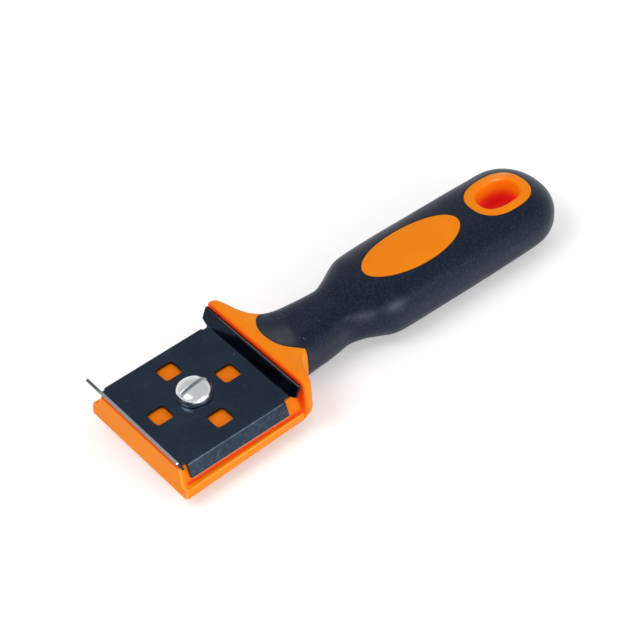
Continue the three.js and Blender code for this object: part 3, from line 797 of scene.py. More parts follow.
def collar_rows(turn, base, crest_x, edge_x, head, grip):
    """Rows of the collar (x, distance from the sweep line), from the wall's crest to the sleeve's edge.

    The collar is the handle's section, or the head's rim where that stands out further. The rim turns
    in towards its end on a quarter ellipse. A small quarter round closes the collar at the sleeve.
    """
    t = np.linspace(0, 1, COLLAR_ROWS + 1)[1:, None] ** COLLAR_SPREAD
    x = crest_x + (edge_x - grip.lip_round - crest_x) * t
    ahead = np.clip((x - head.wall) / (head.rear - head.wall), 0, 1)
    start = (head.wall - head.rim_turn) / (head.rear - head.rim_turn)
    turned = start + (1 - start) * ahead
    drop = head.rim_turn_depth * (math.sqrt(1 - start ** 2) - np.sqrt(1 - turned ** 2))
    rim_r = np.where(ahead < 1, base - drop / np.maximum(np.abs(np.cos(turn)), LEAST_COSINE), 0)
    collar_r = np.maximum(handle_radius(x, turn), rim_r)
    fold = COARSE_QUARTER[1:, None]
    lip_x = edge_x - grip.lip_round * (1 - np.sin(fold))
    lip_r = handle_radius(lip_x, turn) - grip.lip_round * (1 - np.cos(fold))
    return np.concatenate([x, lip_x]), np.concatenate([collar_r, lip_r])


def spine_rows(turn, edge_x, grip):
    """Rows (x, distance from the sweep line) of the step under the sleeve and of the spine inside it."""
    depth = grip.thickness + SPINE_GAP
    step_x = edge_x[None, :] + np.zeros((2, 1))
    step_r = handle_radius(step_x, turn) - np.array([[0.5 * depth], [depth]])
    along = np.array(SPINE_ROWS)[:, None]
    spine_x = np.concatenate([
        edge_x + (along[0] - edge_x) * np.array(SPINE_SHARES)[:, None],
        np.broadcast_to(along, (len(along), len(turn)))])
    spine_r = handle_radius(spine_x, turn, depth)
    return np.concatenate([step_x, spine_x]), np.concatenate([step_r, spine_r])


def bush_pocket(body, index, block, head):
    """Round pocket for the bush: rings from a block of the seat's cells to its mouth, then down."""
    circle = circle_towards(head.pocket_radius)
    mouth = body.window(index, block, circle, level_at(head.seat_top), POCKET_SHARES)
    ring = np.concatenate(body.points)[mouth]
    depths = np.array([POCKET_LIP, POCKET_MIDDLE, head.pocket_bottom - head.seat_top])
    wall = body.add(ring + np.stack([0 * depths, 0 * depths, depths], axis=-1)[:, None, :])
    body.bridge(mouth, wall[0])
    body.sheet(wall)
    body.end_fan(wall[-1], body.add([0.0, 0.0, head.pocket_bottom]))


def head_shares(edge, hollow, rise, body_rows, last_rows, head):
    """Shares of cavity and of glow on the head's rows, from the front face to the spine.

    The front edge has a painted highlight, and painted shade where the blade covers it. The body has the
    painted shade and highlight of its section, and the wall behind the blade has painted shade and a
    painted glow as far as it is tall. The last rows have none.
    """
    on_seat = edge[:, 1] > head.seat_top - COVER_DEPTH
    from_side = head.seat_top_half + COVER_MARGIN - np.abs(edge[:, 0])
    covered = np.clip(from_side / COVER_FADE, 0, 1) * on_seat
    front = np.where(covered > 0, COVERED_SHADE * covered, np.array(FRONT_LIT)[:, None])
    body = np.broadcast_to(hollow, (body_rows - 1, len(hollow)))
    tall = np.clip(rise / FULL_WALL, 0, 1)
    wall_shade = np.array(WALL_SHADE)[:, None] * tall
    wall = np.maximum(hollow * (1 - tall), wall_shade)
    cap, last = np.zeros((len(CAP_SHARES), len(hollow))), np.zeros((last_rows, len(hollow)))
    cavity = np.concatenate([cap, front, body, wall, last])
    glow = np.concatenate([cap, 0 * front, 0 * body, WALL_GLOW * wall_shade ** 2, last])
    return cavity, glow


def head_moulding(head, grip):
    """The orange moulding from its front face to the spine inside the sleeve, as one closed skin.

    Sections of the head follow one another along x. At the wall each point runs out from the sweep
    line to the collar's section, with a fillet at its foot and a round at its crest. The collar ends at
    the sleeve's edge, steps down by the sleeve's thickness and goes on as the spine.
    """
    body = Skin()
    corner_turn = tongue_corner(grip)
    body_x = np.concatenate([
        [head.front + head.front_round], FRONT_ROWS,
        np.linspace(-POCKET_BLOCK, POCKET_BLOCK, POCKET_CELLS + 1), REAR_ROWS])
    half, hollow = head_profile(body_x, head, corner_turn)
    sections, seat_middle = whole_section(half), half.shape[1] - 1
    edge = sections[0]
    hollow = np.concatenate([hollow, hollow[-2:0:-1]])
    last = whole_section(head_profile(np.array([head.wall]), head, corner_turn)[0])[0]
    turn = np.arctan2(last[:, 1] - HEAD_CENTRE_Z, last[:, 0])
    turn = np.where(turn < -math.pi / 2 - TINY, turn + 2 * math.pi, turn)
    base = np.linalg.norm(last - HEAD_CENTRE, axis=1)
    rise = np.maximum(handle_radius(head.wall + CREST_BEHIND, turn), base) - base
    edge_x = sleeve_edge(turn, grip) - grip.seam

    front = front_face(edge, head)
    wall_x, wall_r, crest_x = wall_rows(base, rise, head)
    collar_x, collar_r = collar_rows(turn, base, crest_x, edge_x, head, grip)
    spine_x, spine_r = spine_rows(turn, edge_x, grip)
    rows = np.concatenate([
        front,
        at(body_x[:, None], sections),
        swept(wall_x, turn, wall_r),
        swept(collar_x, turn, collar_r),
        swept(spine_x, turn, spine_r),
    ])
    leaning = slice(len(front) + 1)
    rows[leaning, :, 0] += front_lean(rows[leaning, :, 2], head)

    last_rows = len(collar_x) + len(spine_x)
    # Painted shade, painted highlight and painted glow on each row
    cavity, glow = head_shares(edge, hollow, rise, len(body_x), last_rows, head)
    front_pole = body.add([head.front + front_lean(HEAD_CENTRE_Z, head), 0, HEAD_CENTRE_Z])
    index = body.add(rows, cavity, glow)
    end_pole = body.add([SPINE_ROWS[-1], 0, centre_height(np.array(float(SPINE_ROWS[-1])))])
    seat = np.abs(edge[:, 1] - head.seat_top) < SAME_LEVEL
    side = int(np.argmin(np.where(seat, np.abs(edge[:, 0] - POCKET_SPREAD), FARTHEST)))
    first_row = len(front) + 1 + len(FRONT_ROWS)
    block = (first_row, first_row + POCKET_CELLS, side, 2 * seat_middle - side)
    body.start_fan(front_pole, index[0])
    body.sheet(index, blocks=[block])
    body.end_fan(index[-1], end_pole)
    bush_pocket(body, index, block, head)
    return settle(body.piece("head_moulding"), HEAD_SHARP)


def window_ovals(grip, gap):
    """Outlines of the pad and of the hole's lining, with a gap added all round."""
    pad_halves = (grip.pad_half_length + gap, grip.pad_half_width + gap)
    lining_halves = (grip.lining_half_length + gap, grip.lining_half_width + gap)
    pad = oval_towards((grip.pad_x, 0.0), pad_halves, grip.pad_power)
    return pad, oval_towards((grip.hole_x, 0.0), lining_halves, grip.lining_power)


def all_round(points):
    """Directions round a full turn."""
    return 2 * math.pi * np.arange(points) / points


def circle_about(x, points):
    """Points in plan, 1 mm all round a place on the tool's middle line."""
    turn = all_round(points)
    return np.stack([np.cos(turn), np.sin(turn)], axis=-1) + [x, 0]


def rubber_sleeve(grip):
    """Soft sleeve: the handle's skin from the tongue's edge to the rounded end, with three windows."""
    body = Skin()
    turn = all_round(SLEEVE_POINTS)
    corner = tongue_corner(grip)
    turn[np.argmin(np.abs(turn - corner))] = corner
    turn[np.argmin(np.abs(turn - (math.pi - corner)))] = math.pi - corner
    edge = sleeve_edge(turn, grip) + grip.seam
    front = edge + (SLEEVE_NECK - edge) * np.linspace(0, 1, SLEEVE_FRONT_ROWS)[:, None]
    along = np.concatenate([NECK_ROWS, PAD_ROWS, HOLE_ROWS, END_ROWS])
    x = np.concatenate([front, np.broadcast_to(along[:, None], (len(along), SLEEVE_POINTS))])
    index = body.add(swept(x, turn, handle_radius(x, turn)))
    pad_row = SLEEVE_FRONT_ROWS + len(NECK_ROWS)
    hole_row = pad_row + len(PAD_ROWS)
    pad_rows = (pad_row, pad_row + len(PAD_ROWS) - 1)
    hole_rows = (hole_row, hole_row + len(HOLE_ROWS) - 1)
    pad, lining = window_ovals(grip, grip.seam)
    windows = (
        ((*pad_rows, *TOP_COLUMNS), pad, 1),
        ((*hole_rows, *TOP_COLUMNS), lining, 1),
        ((*hole_rows, *UNDER_COLUMNS), lining, -1),
    )
    body.sheet(index, blocks=[block for block, outline, side in windows])
    body.end_fan(index[-1], body.add([END_X, 0, handle_halves(np.array(END_X))[2]]))
    for block, outline, side in windows:
        body.window(index, block, outline, partial(handle_face, side=side), SLEEVE_WINDOW_SHARES)
    thing = body.piece("rubber_sleeve", outward=False)
    thicken(thing, grip.thickness, grip.lip_round)
    return settle(thing, GRIP_SHARP)


def grip_pad(grip):
    """Oval pad in the top of the grip: rings of its outline laid on the handle's upper face."""
    body = Skin()
    outline = window_ovals(grip, -grip.seam)[0](circle_about(grip.pad_x, PAD_POINTS))
    middle = np.array([grip.pad_x, 0.0])
    plan = middle + (outline - middle) * np.array(PAD_SHARES)[:, None, None]
    index = body.add(handle_face(plan, 1))
    body.sheet(index)
    body.end_fan(index[-1], body.add(handle_face(middle, 1)))
    thing = body.piece("grip_pad", outward=False)
    thicken(thing, grip.thickness, grip.lip_round)
    return settle(thing, GRIP_SHARP)


def hole_lining(grip):
    """Lining of the hang hole: a closed profile carried round the oval.

    The profile goes up the outer wall, in over the flush upper face, round the mouth by a quarter
    circle, down the hole and back the same way on the lower face.
    """
    body = Skin()
    around = circle_about(grip.hole_x, LINING_POINTS)
    outer = window_ovals(grip, -grip.seam)[1](around)
    hole_halves = (grip.hole_half_length, grip.hole_half_width)
    inner = oval_towards((grip.hole_x, 0.0), hole_halves, grip.hole_power)(around)
    width = np.linalg.norm(outer - inner, axis=1)
    across = (outer - inner) / width[:, None]
    edge = width - np.array(LINING_INSETS)[:, None]
    in_share = np.array(LINING_SHARES)[:, None]
    face = (1 - in_share) * width + in_share * grip.mouth_round
    fold = np.radians(np.linspace(0, 90, MOUTH_STEPS))
    mouth = grip.mouth_round * (1 - np.sin(fold))[:, None] + 0 * width
    from_hole = np.concatenate([edge, face, mouth])
    mouth_drop = grip.mouth_round * (1 - np.cos(fold))
    drop = np.concatenate([LINING_DROPS, np.zeros(len(LINING_SHARES)), mouth_drop])
    plan = inner + across * from_hole[..., None]
    down = np.stack([0 * drop, 0 * drop, drop], axis=-1)[:, None, :]
    upper = handle_face(plan, 1) - down
    lower = (handle_face(plan, -1) + down)[::-1]
    hole = upper[-1] + (lower[0] - upper[-1]) * np.array(HOLE_SHARES)[:, None, None]

    # Painted shade and painted glow: none on the outer faces, growing round the mouth and strongest
    # halfway down the hole
    def shares(mouth_share, hole_shares):
        growing = np.linspace(0, mouth_share, MOUTH_STEPS)
        rim = np.concatenate([np.zeros(len(edge) + len(face)), growing])
        return np.concatenate([rim, hole_shares, rim[::-1]])[:, None]

    rows = np.concatenate([upper, hole, lower])
    index = body.add(rows, shares(MOUTH_SHADE, HOLE_SHADE), shares(MOUTH_GLOW, HOLE_GLOW))
    body.sheet(index)
    body.bridge(index[-1], index[0])
    return settle(body.piece("hole_lining"), GRIP_SHARP)


def lip_bend(start, bend, radius, steps):
    """Points (outward, rise) round a bend from the plate's edge, and the lip's direction after it."""
    turn = np.linspace(0, bend, steps)[1:]
    arc = np.stack([start + radius * np.sin(turn), radius * (1 - np.cos(turn))], axis=-1)
    return arc, np.array([math.cos(bend), math.sin(bend)])


def lip_reach(start, bend, radius, height):
    """How far a lip of a height reaches in its own direction, measured from the screw's axis."""
    arc, direction = lip_bend(start, bend, radius, 2)
    run = (height - arc[-1, 1]) / direction[1]
    return (arc[-1] + run * direction) @ direction


def add_lip(body, edge, rows, flip):
    """Joins the rows of a lip to an edge of the plate; flip turns its faces to the plate's side."""
    lip = body.add(rows)
    if flip:
        edge, lip = edge[::-1], lip[:, ::-1]
    body.bridge(edge, lip[0], closed=False)
    body.sheet(lip, closed=False)


def scraping_lips(body, index, y_lines, blade):
    """The two lips bent up, whose width grows with height from the root to the full width."""
    arc, direction = lip_bend(blade.edge_start, blade.edge_angle, blade.bend_radius, EDGE_BEND_STEPS)
    heights = np.array([*FLARE_ROWS, blade.flare_high, *LIP_ROWS, blade.edge_height])
    straight = arc[-1] + ((heights - arc[-1, 1]) / direction[1])[:, None] * direction
    path = np.concatenate([arc, straight])
    flare_heights = [0.0, ROOT_HEIGHT, blade.flare_low, blade.flare_high]
    flare = [blade.side_start, blade.edge_root, blade.edge_root, blade.edge_half]
    half_width = np.interp(path[:, 1], flare_heights, flare)
    across = y_lines / blade.side_start * half_width[:, None]
    for side, edge in ((1, index[-1]), (-1, index[0])):
        rows = np.stack(np.broadcast_arrays(side * path[:, :1], across, path[:, 1:]), axis=-1)
        add_lip(body, edge, rows, flip=side > 0)


def side_lips(body, index, x_lines, blade):
    """The two lips bent down over the seat, on the middle length of the plate's sides."""
    outer_radius = blade.bend_radius + blade.thickness
    arc, direction = lip_bend(blade.side_start, blade.side_angle, outer_radius, SIDE_BEND_STEPS)
    run = (blade.side_drop - arc[-1, 1]) / direction[1]
    straight = arc[-1] + run * np.linspace(0, 1, SIDE_RUN_STEPS + 1)[1:, None] * direction
    path = np.concatenate([arc, straight])
    inside = np.abs(x_lines) <= blade.side_half + TINY
    for side, edge in ((1, index[inside, -1]), (-1, index[inside, 0])):
        rows = np.stack(np.broadcast_arrays(x_lines[inside], side * path[:, :1], -path[:, 1:]), axis=-1)
        add_lip(body, edge, rows, flip=side < 0)


def blade_sheet(blade):
    """Upper face of the bent sheet with its windows, then given its thickness.

    The plate is a grid of square cells. Rings lead from a block of cells to each window, a square with
    slightly rounded corners, and to the screw hole. Each lip continues an edge of the grid round the arc
    of the bend and along a straight run.
    """
    body = Skin()
    offset, half_side = blade.window_offset, blade.window_side / 2
    cells = np.linspace(-CELLS_HALF, CELLS_HALF, CELL_LINES)
    inner = np.concatenate([cells - offset, [-BETWEEN_CELLS], cells, [BETWEEN_CELLS], cells + offset])
    x_outer = np.array([blade.side_half, BY_EDGE_BEND, blade.edge_start])
    y_outer = np.array([*BY_SIDE_BEND, blade.side_start])
    x_lines = np.concatenate([-x_outer[::-1], inner, x_outer])
    y_lines = np.concatenate([-y_outer[::-1], inner, y_outer])
    x, y = np.meshgrid(x_lines, y_lines, indexing="ij")
    index = body.add(np.stack([x, y, 0 * x], axis=-1))
    turned = index.T
    places = ((0, -1), (0, 1), (-1, 0), (1, 0))
    cell_rows = {-1: NEAR_CELLS, 0: MIDDLE_CELLS, 1: FAR_CELLS}
    blocks = [(*cell_rows[across], *cell_rows[along]) for across, along in places]
    middle_block = (*MIDDLE_CELLS, *MIDDLE_CELLS)
    body.sheet(turned, closed=False, blocks=[*blocks, middle_block])
    for (across, along), block in zip(places, blocks):
        square = oval_towards((along * offset, across * offset), (half_side, half_side), WINDOW_POWER)
        body.window(turned, block, square, level_at(0.0), BLADE_WINDOW_SHARES)
    circle = circle_towards(blade.hole_radius)
    body.window(turned, middle_block, circle, level_at(0.0), SCREW_HOLE_SHARES)
    scraping_lips(body, index, y_lines, blade)
    side_lips(body, index, x_lines, blade)
    thing = body.piece("blade_sheet", outward=False)
    thicken(thing, blade.thickness, blade.edge_break)
    return settle(thing, BLADE_SHARP)


def thread_wave(levels, around, pitch):
    """Triangle wave of (z / pitch - turn / full turn): 1 on the crest's line and 0 midway between."""
    phase = (levels[:, None] / pitch - around / (2 * math.pi)) % 1.0
    return np.abs(2 * phase - 1)


def screw_head(body, screw):
    """Top of the screw's head as a height over a disc; returns the indices, x and y of its edge.

    Rows run across the slot and columns along it, x = column * sqrt(R^2 - y^2). The height is
    z0 + h (1 - (r/R)^n)^(1/n), less a quarter round along the slot, and in the slot the lower of that and
    the slot's floor.
    """
    radius, half, edge = screw.head_radius, screw.slot_width / 2, screw.slot_round
    outward = np.sin(np.linspace(0, math.pi / 2, OUTER_STEPS + 1))[1:]
    side_y = np.concatenate([
        half + edge * (1 - np.cos(QUARTER)), half + edge + (radius - half - edge) * outward])
    side_drop = np.concatenate([edge * (1 - np.sin(QUARTER)), np.zeros(OUTER_STEPS)])
    # Painted shade: full on the slot's floor and fading over the rounds of its edges
    side_shade = np.concatenate([SLOT_EDGE_SHADE, np.zeros(len(side_y) - len(SLOT_EDGE_SHADE))])
    y = np.concatenate([-side_y[::-1], np.linspace(-half, half, SLOT_POINTS), side_y])[:, None]
    drop = np.concatenate([side_drop[::-1], np.zeros(SLOT_POINTS), side_drop])[:, None]
    hollow = np.concatenate([side_shade[::-1], np.ones(SLOT_POINTS), side_shade])[:, None]
    row = np.arange(len(y))[:, None]
    in_slot = (row >= len(side_y)) & (row < len(side_y) + SLOT_POINTS)
    column = np.sin(np.linspace(-math.pi / 2, math.pi / 2, HEAD_COLUMNS))
    x = column * np.sqrt(np.maximum(radius ** 2 - y ** 2, 0))
    share = np.minimum(np.hypot(x, y) / radius, 1)
    height, power = screw.head_top - screw.head_edge, screw.head_power
    dome = screw.head_edge + height * np.maximum(1 - share ** power, 0) ** (1 / power)
    depth = np.clip((dome - screw.head_top + screw.slot_depth) / SLOT_RUNOUT, 0, 1)
    dome = np.maximum(dome - drop * depth, screw.head_edge)
    z = np.where(in_slot, np.minimum(dome, screw.head_top - screw.slot_depth), dome)
    index = body.add(np.stack([x, np.broadcast_to(y, x.shape), z], axis=-1), hollow * depth)
    body.sheet(index.T, closed=False)
    rim = np.concatenate([index[:, -1], index[::-1, 0]])
    return rim, np.concatenate([x[:, -1], x[::-1, 0]]), np.concatenate([y[:, 0], y[::-1, 0]])


def slotted_screw(screw):
    """Pan-head screw: the slotted head, then rings of its edge down the side and along the shank.

    The rings go down the side, under the head and along the shank, whose radius follows the thread's
    wave and runs out towards the tip.
    """
    body = Skin()
    rim, rim_x, rim_y = screw_head(body, screw)
    radius, shank, under = screw.head_radius, screw.shank_radius, screw.head_under
    direction = np.stack([rim_x, rim_y], axis=-1) / radius
    profile = np.array([
        [radius, HEAD_SIDE], *[[radius - inset, under + height] for inset, height in HEAD_EDGE],
        [shank, under], [shank - SHANK_NECK, 0.0]])
    heights = np.broadcast_to(profile[:, None, 1:], (len(profile), len(rim), 1))
    rings = np.concatenate([profile[:, None, :1] * direction, heights], axis=-1)
    levels = np.arange(THREAD_START, screw.tip + THREAD_END, -THREAD_STEP)
    wave = thread_wave(levels, np.arctan2(rim_y, rim_x), screw.pitch)
    runout = np.clip((levels - screw.tip) / RUNOUT_LENGTH, RUNOUT_LEAST, 1)[:, None]
    thread_r = (shank - screw.thread_depth * wave) * np.sqrt(runout)
    thread = np.stack(np.broadcast_arrays(
        thread_r * direction[:, 0], thread_r * direction[:, 1], levels[:, None]), axis=-1)
    tip_r = (thread_r[-1] * TIP_SHARE)[:, None] * direction
    tip = np.concatenate([tip_r, np.full((len(rim), 1), screw.tip)], axis=-1)[None]
    lower = body.add(np.concatenate([rings, thread, tip]))
    body.bridge(rim, lower[0])
    body.sheet(lower)
    body.end_fan(lower[-1], body.add([0.0, 0.0, screw.tip]))
    cosine, sine = math.cos(screw.slot_turn), math.sin(screw.slot_turn)
    spin = np.array([[cosine, sine, 0], [-sine, cosine, 0], [0, 0, 1]])
    body.points = [points @ spin for points in body.points]
    return settle(body.piece("slotted_screw"), SCREW_SHARP)


def brass_bush(screw):
    """Threaded bush: a closed profile turned about the screw's axis, knurled on two bands outside.

    The outer radius of a band is R - d (1 + cos(knurls * turn)) / 2; the bore carries the screw's thread.
    """
    body = Skin()
    turn = all_round(BUSH_POINTS)
    top, bottom = screw.bush_top, screw.bush_bottom
    middle = (top + bottom) / 2
    ends, waist = np.array(BUSH_ENDS), np.array(BUSH_WAIST)
    outside_z = np.concatenate([top - ends, middle + waist, middle - waist[::-1], bottom + ends[::-1]])
    inset = np.array([*BUSH_INSETS, *BUSH_INSETS[::-1]])[:, None]
    knurled = np.array([*BUSH_KNURLED, *BUSH_KNURLED[::-1]])[:, None]
    outside = screw.bush_radius - inset - KNURL_DEPTH * knurled * (1 + np.cos(KNURLS * turn)) / 2
    inside_z = np.arange(bottom, top + TINY, THREAD_STEP)
    runout = np.clip(np.minimum(inside_z - bottom, top - inside_z) / BORE_RUNOUT, 0, 1)[:, None]
    inside = screw.bush_bore - BORE_THREAD * runout * (1 - thread_wave(inside_z, turn, screw.pitch))
    radius = np.concatenate([outside, inside])
    z = np.concatenate([outside_z, inside_z])[:, None]
    points = np.broadcast_arrays(radius * np.cos(turn), radius * np.sin(turn), z)
    index = body.add(np.stack(points, axis=-1))
    body.sheet(index)
    body.bridge(index[-1], index[0])
    return settle(body.piece("brass_bush"), BUSH_SHARP)


def give(tree, socket, value):
    """Links a value to a socket, or sets it there when it is a constant."""
    if isinstance(value, bpy.types.NodeSocket):
        tree.links.new(value, socket)
    else:
        socket.default_value = value


def fill(tree, made, **inputs):
    """Links or sets inputs of a node; names use _ for a space."""
    for name, value in inputs.items():
        give(tree, made.inputs[name.replace("_", " ")], value)


def node(tree, kind, **inputs):
    """A shader node with its inputs linked or set."""
    made = tree.nodes.new(kind)
    fill(tree, made, **inputs)
    return made


def value_math(tree, operation, first, second=0.0):
    """The result of a Math node."""
    made = tree.nodes.new("ShaderNodeMath")
    made.operation = operation
    give(tree, made.inputs[0], first)
    give(tree, made.inputs[1], second)
    return made.outputs[0]


def times(tree, first, second):
    """The product of two values."""
    return value_math(tree, "MULTIPLY", first, second)


def larger(tree, first, second):
    """The larger of two values."""
    return value_math(tree, "MAXIMUM", first, second)


def mix_colour(tree, share, first, second):
    """A colour between two, by a share."""
    made = tree.nodes.new("ShaderNodeMix")
    made.data_type = "RGBA"
    sockets = {socket.identifier: socket for socket in made.inputs}
    for name, value in (("Factor_Float", share), ("A_Color", first), ("B_Color", second)):
        give(tree, sockets[name], value)
    return next(socket for socket in made.outputs if socket.identifier == "Result_Color")


def laid_over(tree, tint, layers):
    """Colours laid over a tint one after another, each by its mask times a strength."""
    for mask, strength, tone in layers:
        tint = mix_colour(tree, times(tree, mask, strength), tint, tone)
    return tint


def ramp(tree, share, low, high):
    """A share of 0 below low, 1 above high and smooth between."""
    made = node(tree, "ShaderNodeMapRange", Value=share, From_Min=low, From_Max=high)
    made.interpolation_type = "SMOOTHSTEP"
    return made.outputs["Result"]


def spread(tree, share, low, high, start=0.0, end=1.0):
    """A value that goes from low to high as a share goes from start to end."""
    made = node(
        tree, "ShaderNodeMapRange", Value=share, From_Min=start, From_Max=end, To_Min=low, To_Max=high)
    return made.outputs["Result"]


def object_place(tree):
    """Object coordinates of the shaded point."""
    return tree.nodes.new("ShaderNodeTexCoord").outputs["Object"]


def object_noise(tree, scale, detail, stretch=(1.0, 1.0, 1.0), place=(0.0, 0.0, 0.0)):
    """Noise on Object coordinates, stretched and moved by a Mapping node."""
    mapping = node(tree, "ShaderNodeMapping", Vector=object_place(tree), Scale=stretch, Location=place)
    noise = node(tree, "ShaderNodeTexNoise", Vector=mapping.outputs[0], Scale=scale, Detail=detail)
    return noise.outputs["Fac"]


def noise_mask(tree, scale, detail, low, high):
    """A share of 0 where a noise is below low, 1 where it is above high and smooth between."""
    return ramp(tree, object_noise(tree, scale, detail), low, high)


def attribute(tree, name):
    """A value that the piece's own mesh holds at each vertex; 0 where it holds none."""
    made = tree.nodes.new("ShaderNodeAttribute")
    made.attribute_name = name
    return made.outputs["Fac"]


def bump(tree, shader, height, strength, distance_mm):
    """Bump of a height on the shader's normal."""
    made = node(tree, "ShaderNodeBump", Height=height, Strength=strength, Distance=distance_mm / 1000)
    tree.links.new(made.outputs[0], shader.inputs["Normal"])


def shade(rgb, factor=1.0):
    """An RGBA colour from a base colour times a factor."""
    return (*[min(1.0, channel * factor) for channel in rgb], 1.0)


def new_group(name, inputs, outputs):
    """An empty node group, with the sockets of its input and output nodes; all outputs are numbers."""
    group = bpy.data.node_groups.new(name, "ShaderNodeTree")
    for label, value in inputs.items():
        kind = "NodeSocketVector" if isinstance(value, tuple) else "NodeSocketFloat"
        socket = group.interface.new_socket(name=label, in_out="INPUT", socket_type=kind)
        socket.default_value = value
    for label in outputs:
        group.interface.new_socket(name=label, in_out="OUTPUT", socket_type="NodeSocketFloat")
    return group, group.nodes.new("NodeGroupInput").outputs, group.nodes.new("NodeGroupOutput").inputs


def moulded_grain(name):
    """Fine grain of a moulded surface: a height for bump and a slow mottle for colour and roughness."""
    scales = {"Grain Scale": 3000.0, "Mottle Scale": 60.0}
    group, given, result = new_group(name, scales, ("Height", "Mottle"))
    group.links.new(object_noise(group, given["Grain Scale"], detail=2.0), result["Height"])
    group.links.new(object_noise(group, given["Mottle Scale"], detail=4.0), result["Mottle"])
    return group


def handling_marks(name):
    """Handling marks on metal: fine lines along x, slow blotches, and a few thin scratches."""
    scales = {"Line Scale": 900.0, "Blotch Scale": 90.0}
    group, given, result = new_group(name, scales, ("Lines", "Blotches", "Scratches"))
    lines = object_noise(group, given["Line Scale"], detail=3.0, stretch=LINE_STRETCH)
    blotches = object_noise(group, given["Blotch Scale"], detail=5.0)
    streaks = object_noise(group, STREAK_SCALE, detail=2.0, stretch=STREAK_STRETCH, place=STREAK_PLACE)
    group.links.new(lines, result["Lines"])
    group.links.new(blotches, result["Blotches"])
    group.links.new(ramp(group, streaks, *STREAK_RANGE), result["Scratches"])
    return group


def oval_spot(name):
    """Oval spot: a mask of 1 in the core of an oval about a place and 0 outside it, leaning along x."""
    sizes = {"Place": (0.0, 0.0, 0.0), "Half Sizes": (1.0, 1.0, 1.0), "Lean": 0.0, "Core": 0.5}
    group, given, result = new_group(name, sizes, ("Mask",))
    lean = node(group, "ShaderNodeCombineXYZ", Y=given["Lean"]).outputs[0]
    mapping = node(
        group, "ShaderNodeMapping", Vector=object_place(group), Location=given["Place"],
        Rotation=lean, Scale=given["Half Sizes"])
    mapping.vector_type = "TEXTURE"
    distance = group.nodes.new("ShaderNodeVectorMath")
    distance.operation = "LENGTH"
    group.links.new(mapping.outputs[0], distance.inputs[0])
    group.links.new(ramp(group, distance.outputs["Value"], 1.0, given["Core"]), result["Mask"])
    return group


GROUPS = {"Moulded Grain": moulded_grain, "Handling Marks": handling_marks, "Oval Spot": oval_spot}


def place_group(tree, name, **values):
    """A shared node group placed in a material with its own values; the first one to ask builds it."""
    made = tree.nodes.new("ShaderNodeGroup")
    made.node_tree = bpy.data.node_groups.get(name) or GROUPS[name](name)
    fill(tree, made, **values)
    return made.outputs


def spot_mask(tree, place_mm, halves_mm, lean=0.0, core=0.55):
    """Mask of an oval spot, with its place and half sizes in millimetres and its lean in degrees."""
    place = frame_origin() + np.array(place_mm) / 1000
    halves = np.array(halves_mm) / 1000
    spot = place_group(
        tree, "Oval Spot", Place=place.tolist(), Half_Sizes=halves.tolist(), Lean=math.radians(lean),
        Core=core)
    return spot["Mask"]


def new_material(name):
    """An empty node material with its shader and output."""
    material = bpy.data.materials.new(name)
    material.use_nodes = True
    tree = material.node_tree
    tree.nodes.clear()
    shader = tree.nodes.new("ShaderNodeBsdfPrincipled")
    output = tree.nodes.new("ShaderNodeOutputMaterial")
    tree.links.new(shader.outputs[0], output.inputs["Surface"])
    return material, tree, shader


def orange_plastic(tree, shader, scene):
    """Satin orange plastic with a fine moulded grain; a little light goes in and comes out redder.

    Painted highlights on lit edges and painted shade in hollows are tints by the mesh's shares of painted
    light.
    Its painted glow lights the plastic from inside as emission and then paints it red. A clear coat gives
    the glint on the mouth of the hang hole.
    """
    finishes = scene.scraper_finishes
    grain = place_group(tree, "Moulded Grain", Grain_Scale=2600.0, Mottle_Scale=70.0)
    hollow, glow = attribute(tree, "cavity"), attribute(tree, "glow")
    mottle = ramp(tree, grain["Mottle"], *NOISE_RANGE)
    tint = mix_colour(tree, mottle, shade(finishes.orange, 0.97), shade(finishes.orange, 1.03))
    # Painted highlight on lit edges, then painted shade in hollows, then painted red down the hang hole
    tint = mix_colour(tree, ramp(tree, hollow, 0.0, -1.0), tint, shade(finishes.edge_orange))
    tint = mix_colour(tree, hollow, tint, shade(finishes.deep_orange))
    tint = mix_colour(tree, ramp(tree, glow, HALF_GLOW, 1.0), tint, shade(finishes.hole_shade_red))
    fill(
        tree, shader,
        Base_Color=tint,
        Roughness=spread(tree, grain["Mottle"], 0.32, 0.40, *NOISE_RANGE),
        Specular_IOR_Level=0.08,
        Subsurface_Weight=0.6,
        Subsurface_Radius=(1.0, 0.2, 0.05),
        Subsurface_Scale=0.0015,
        Coat_Weight=spot_mask(tree, *MOUTH_POLISH),
        Coat_Roughness=0.08,
        # Painted glow: emission of the plastic's own tint where the mesh's glow share is set
        Emission_Color=mix_colour(tree, ramp(tree, glow, 0.0, HALF_GLOW), BLACK, tint),
        Emission_Strength=0.12,
    )
    bump(tree, shader, grain["Height"], strength=0.12, distance_mm=0.05)


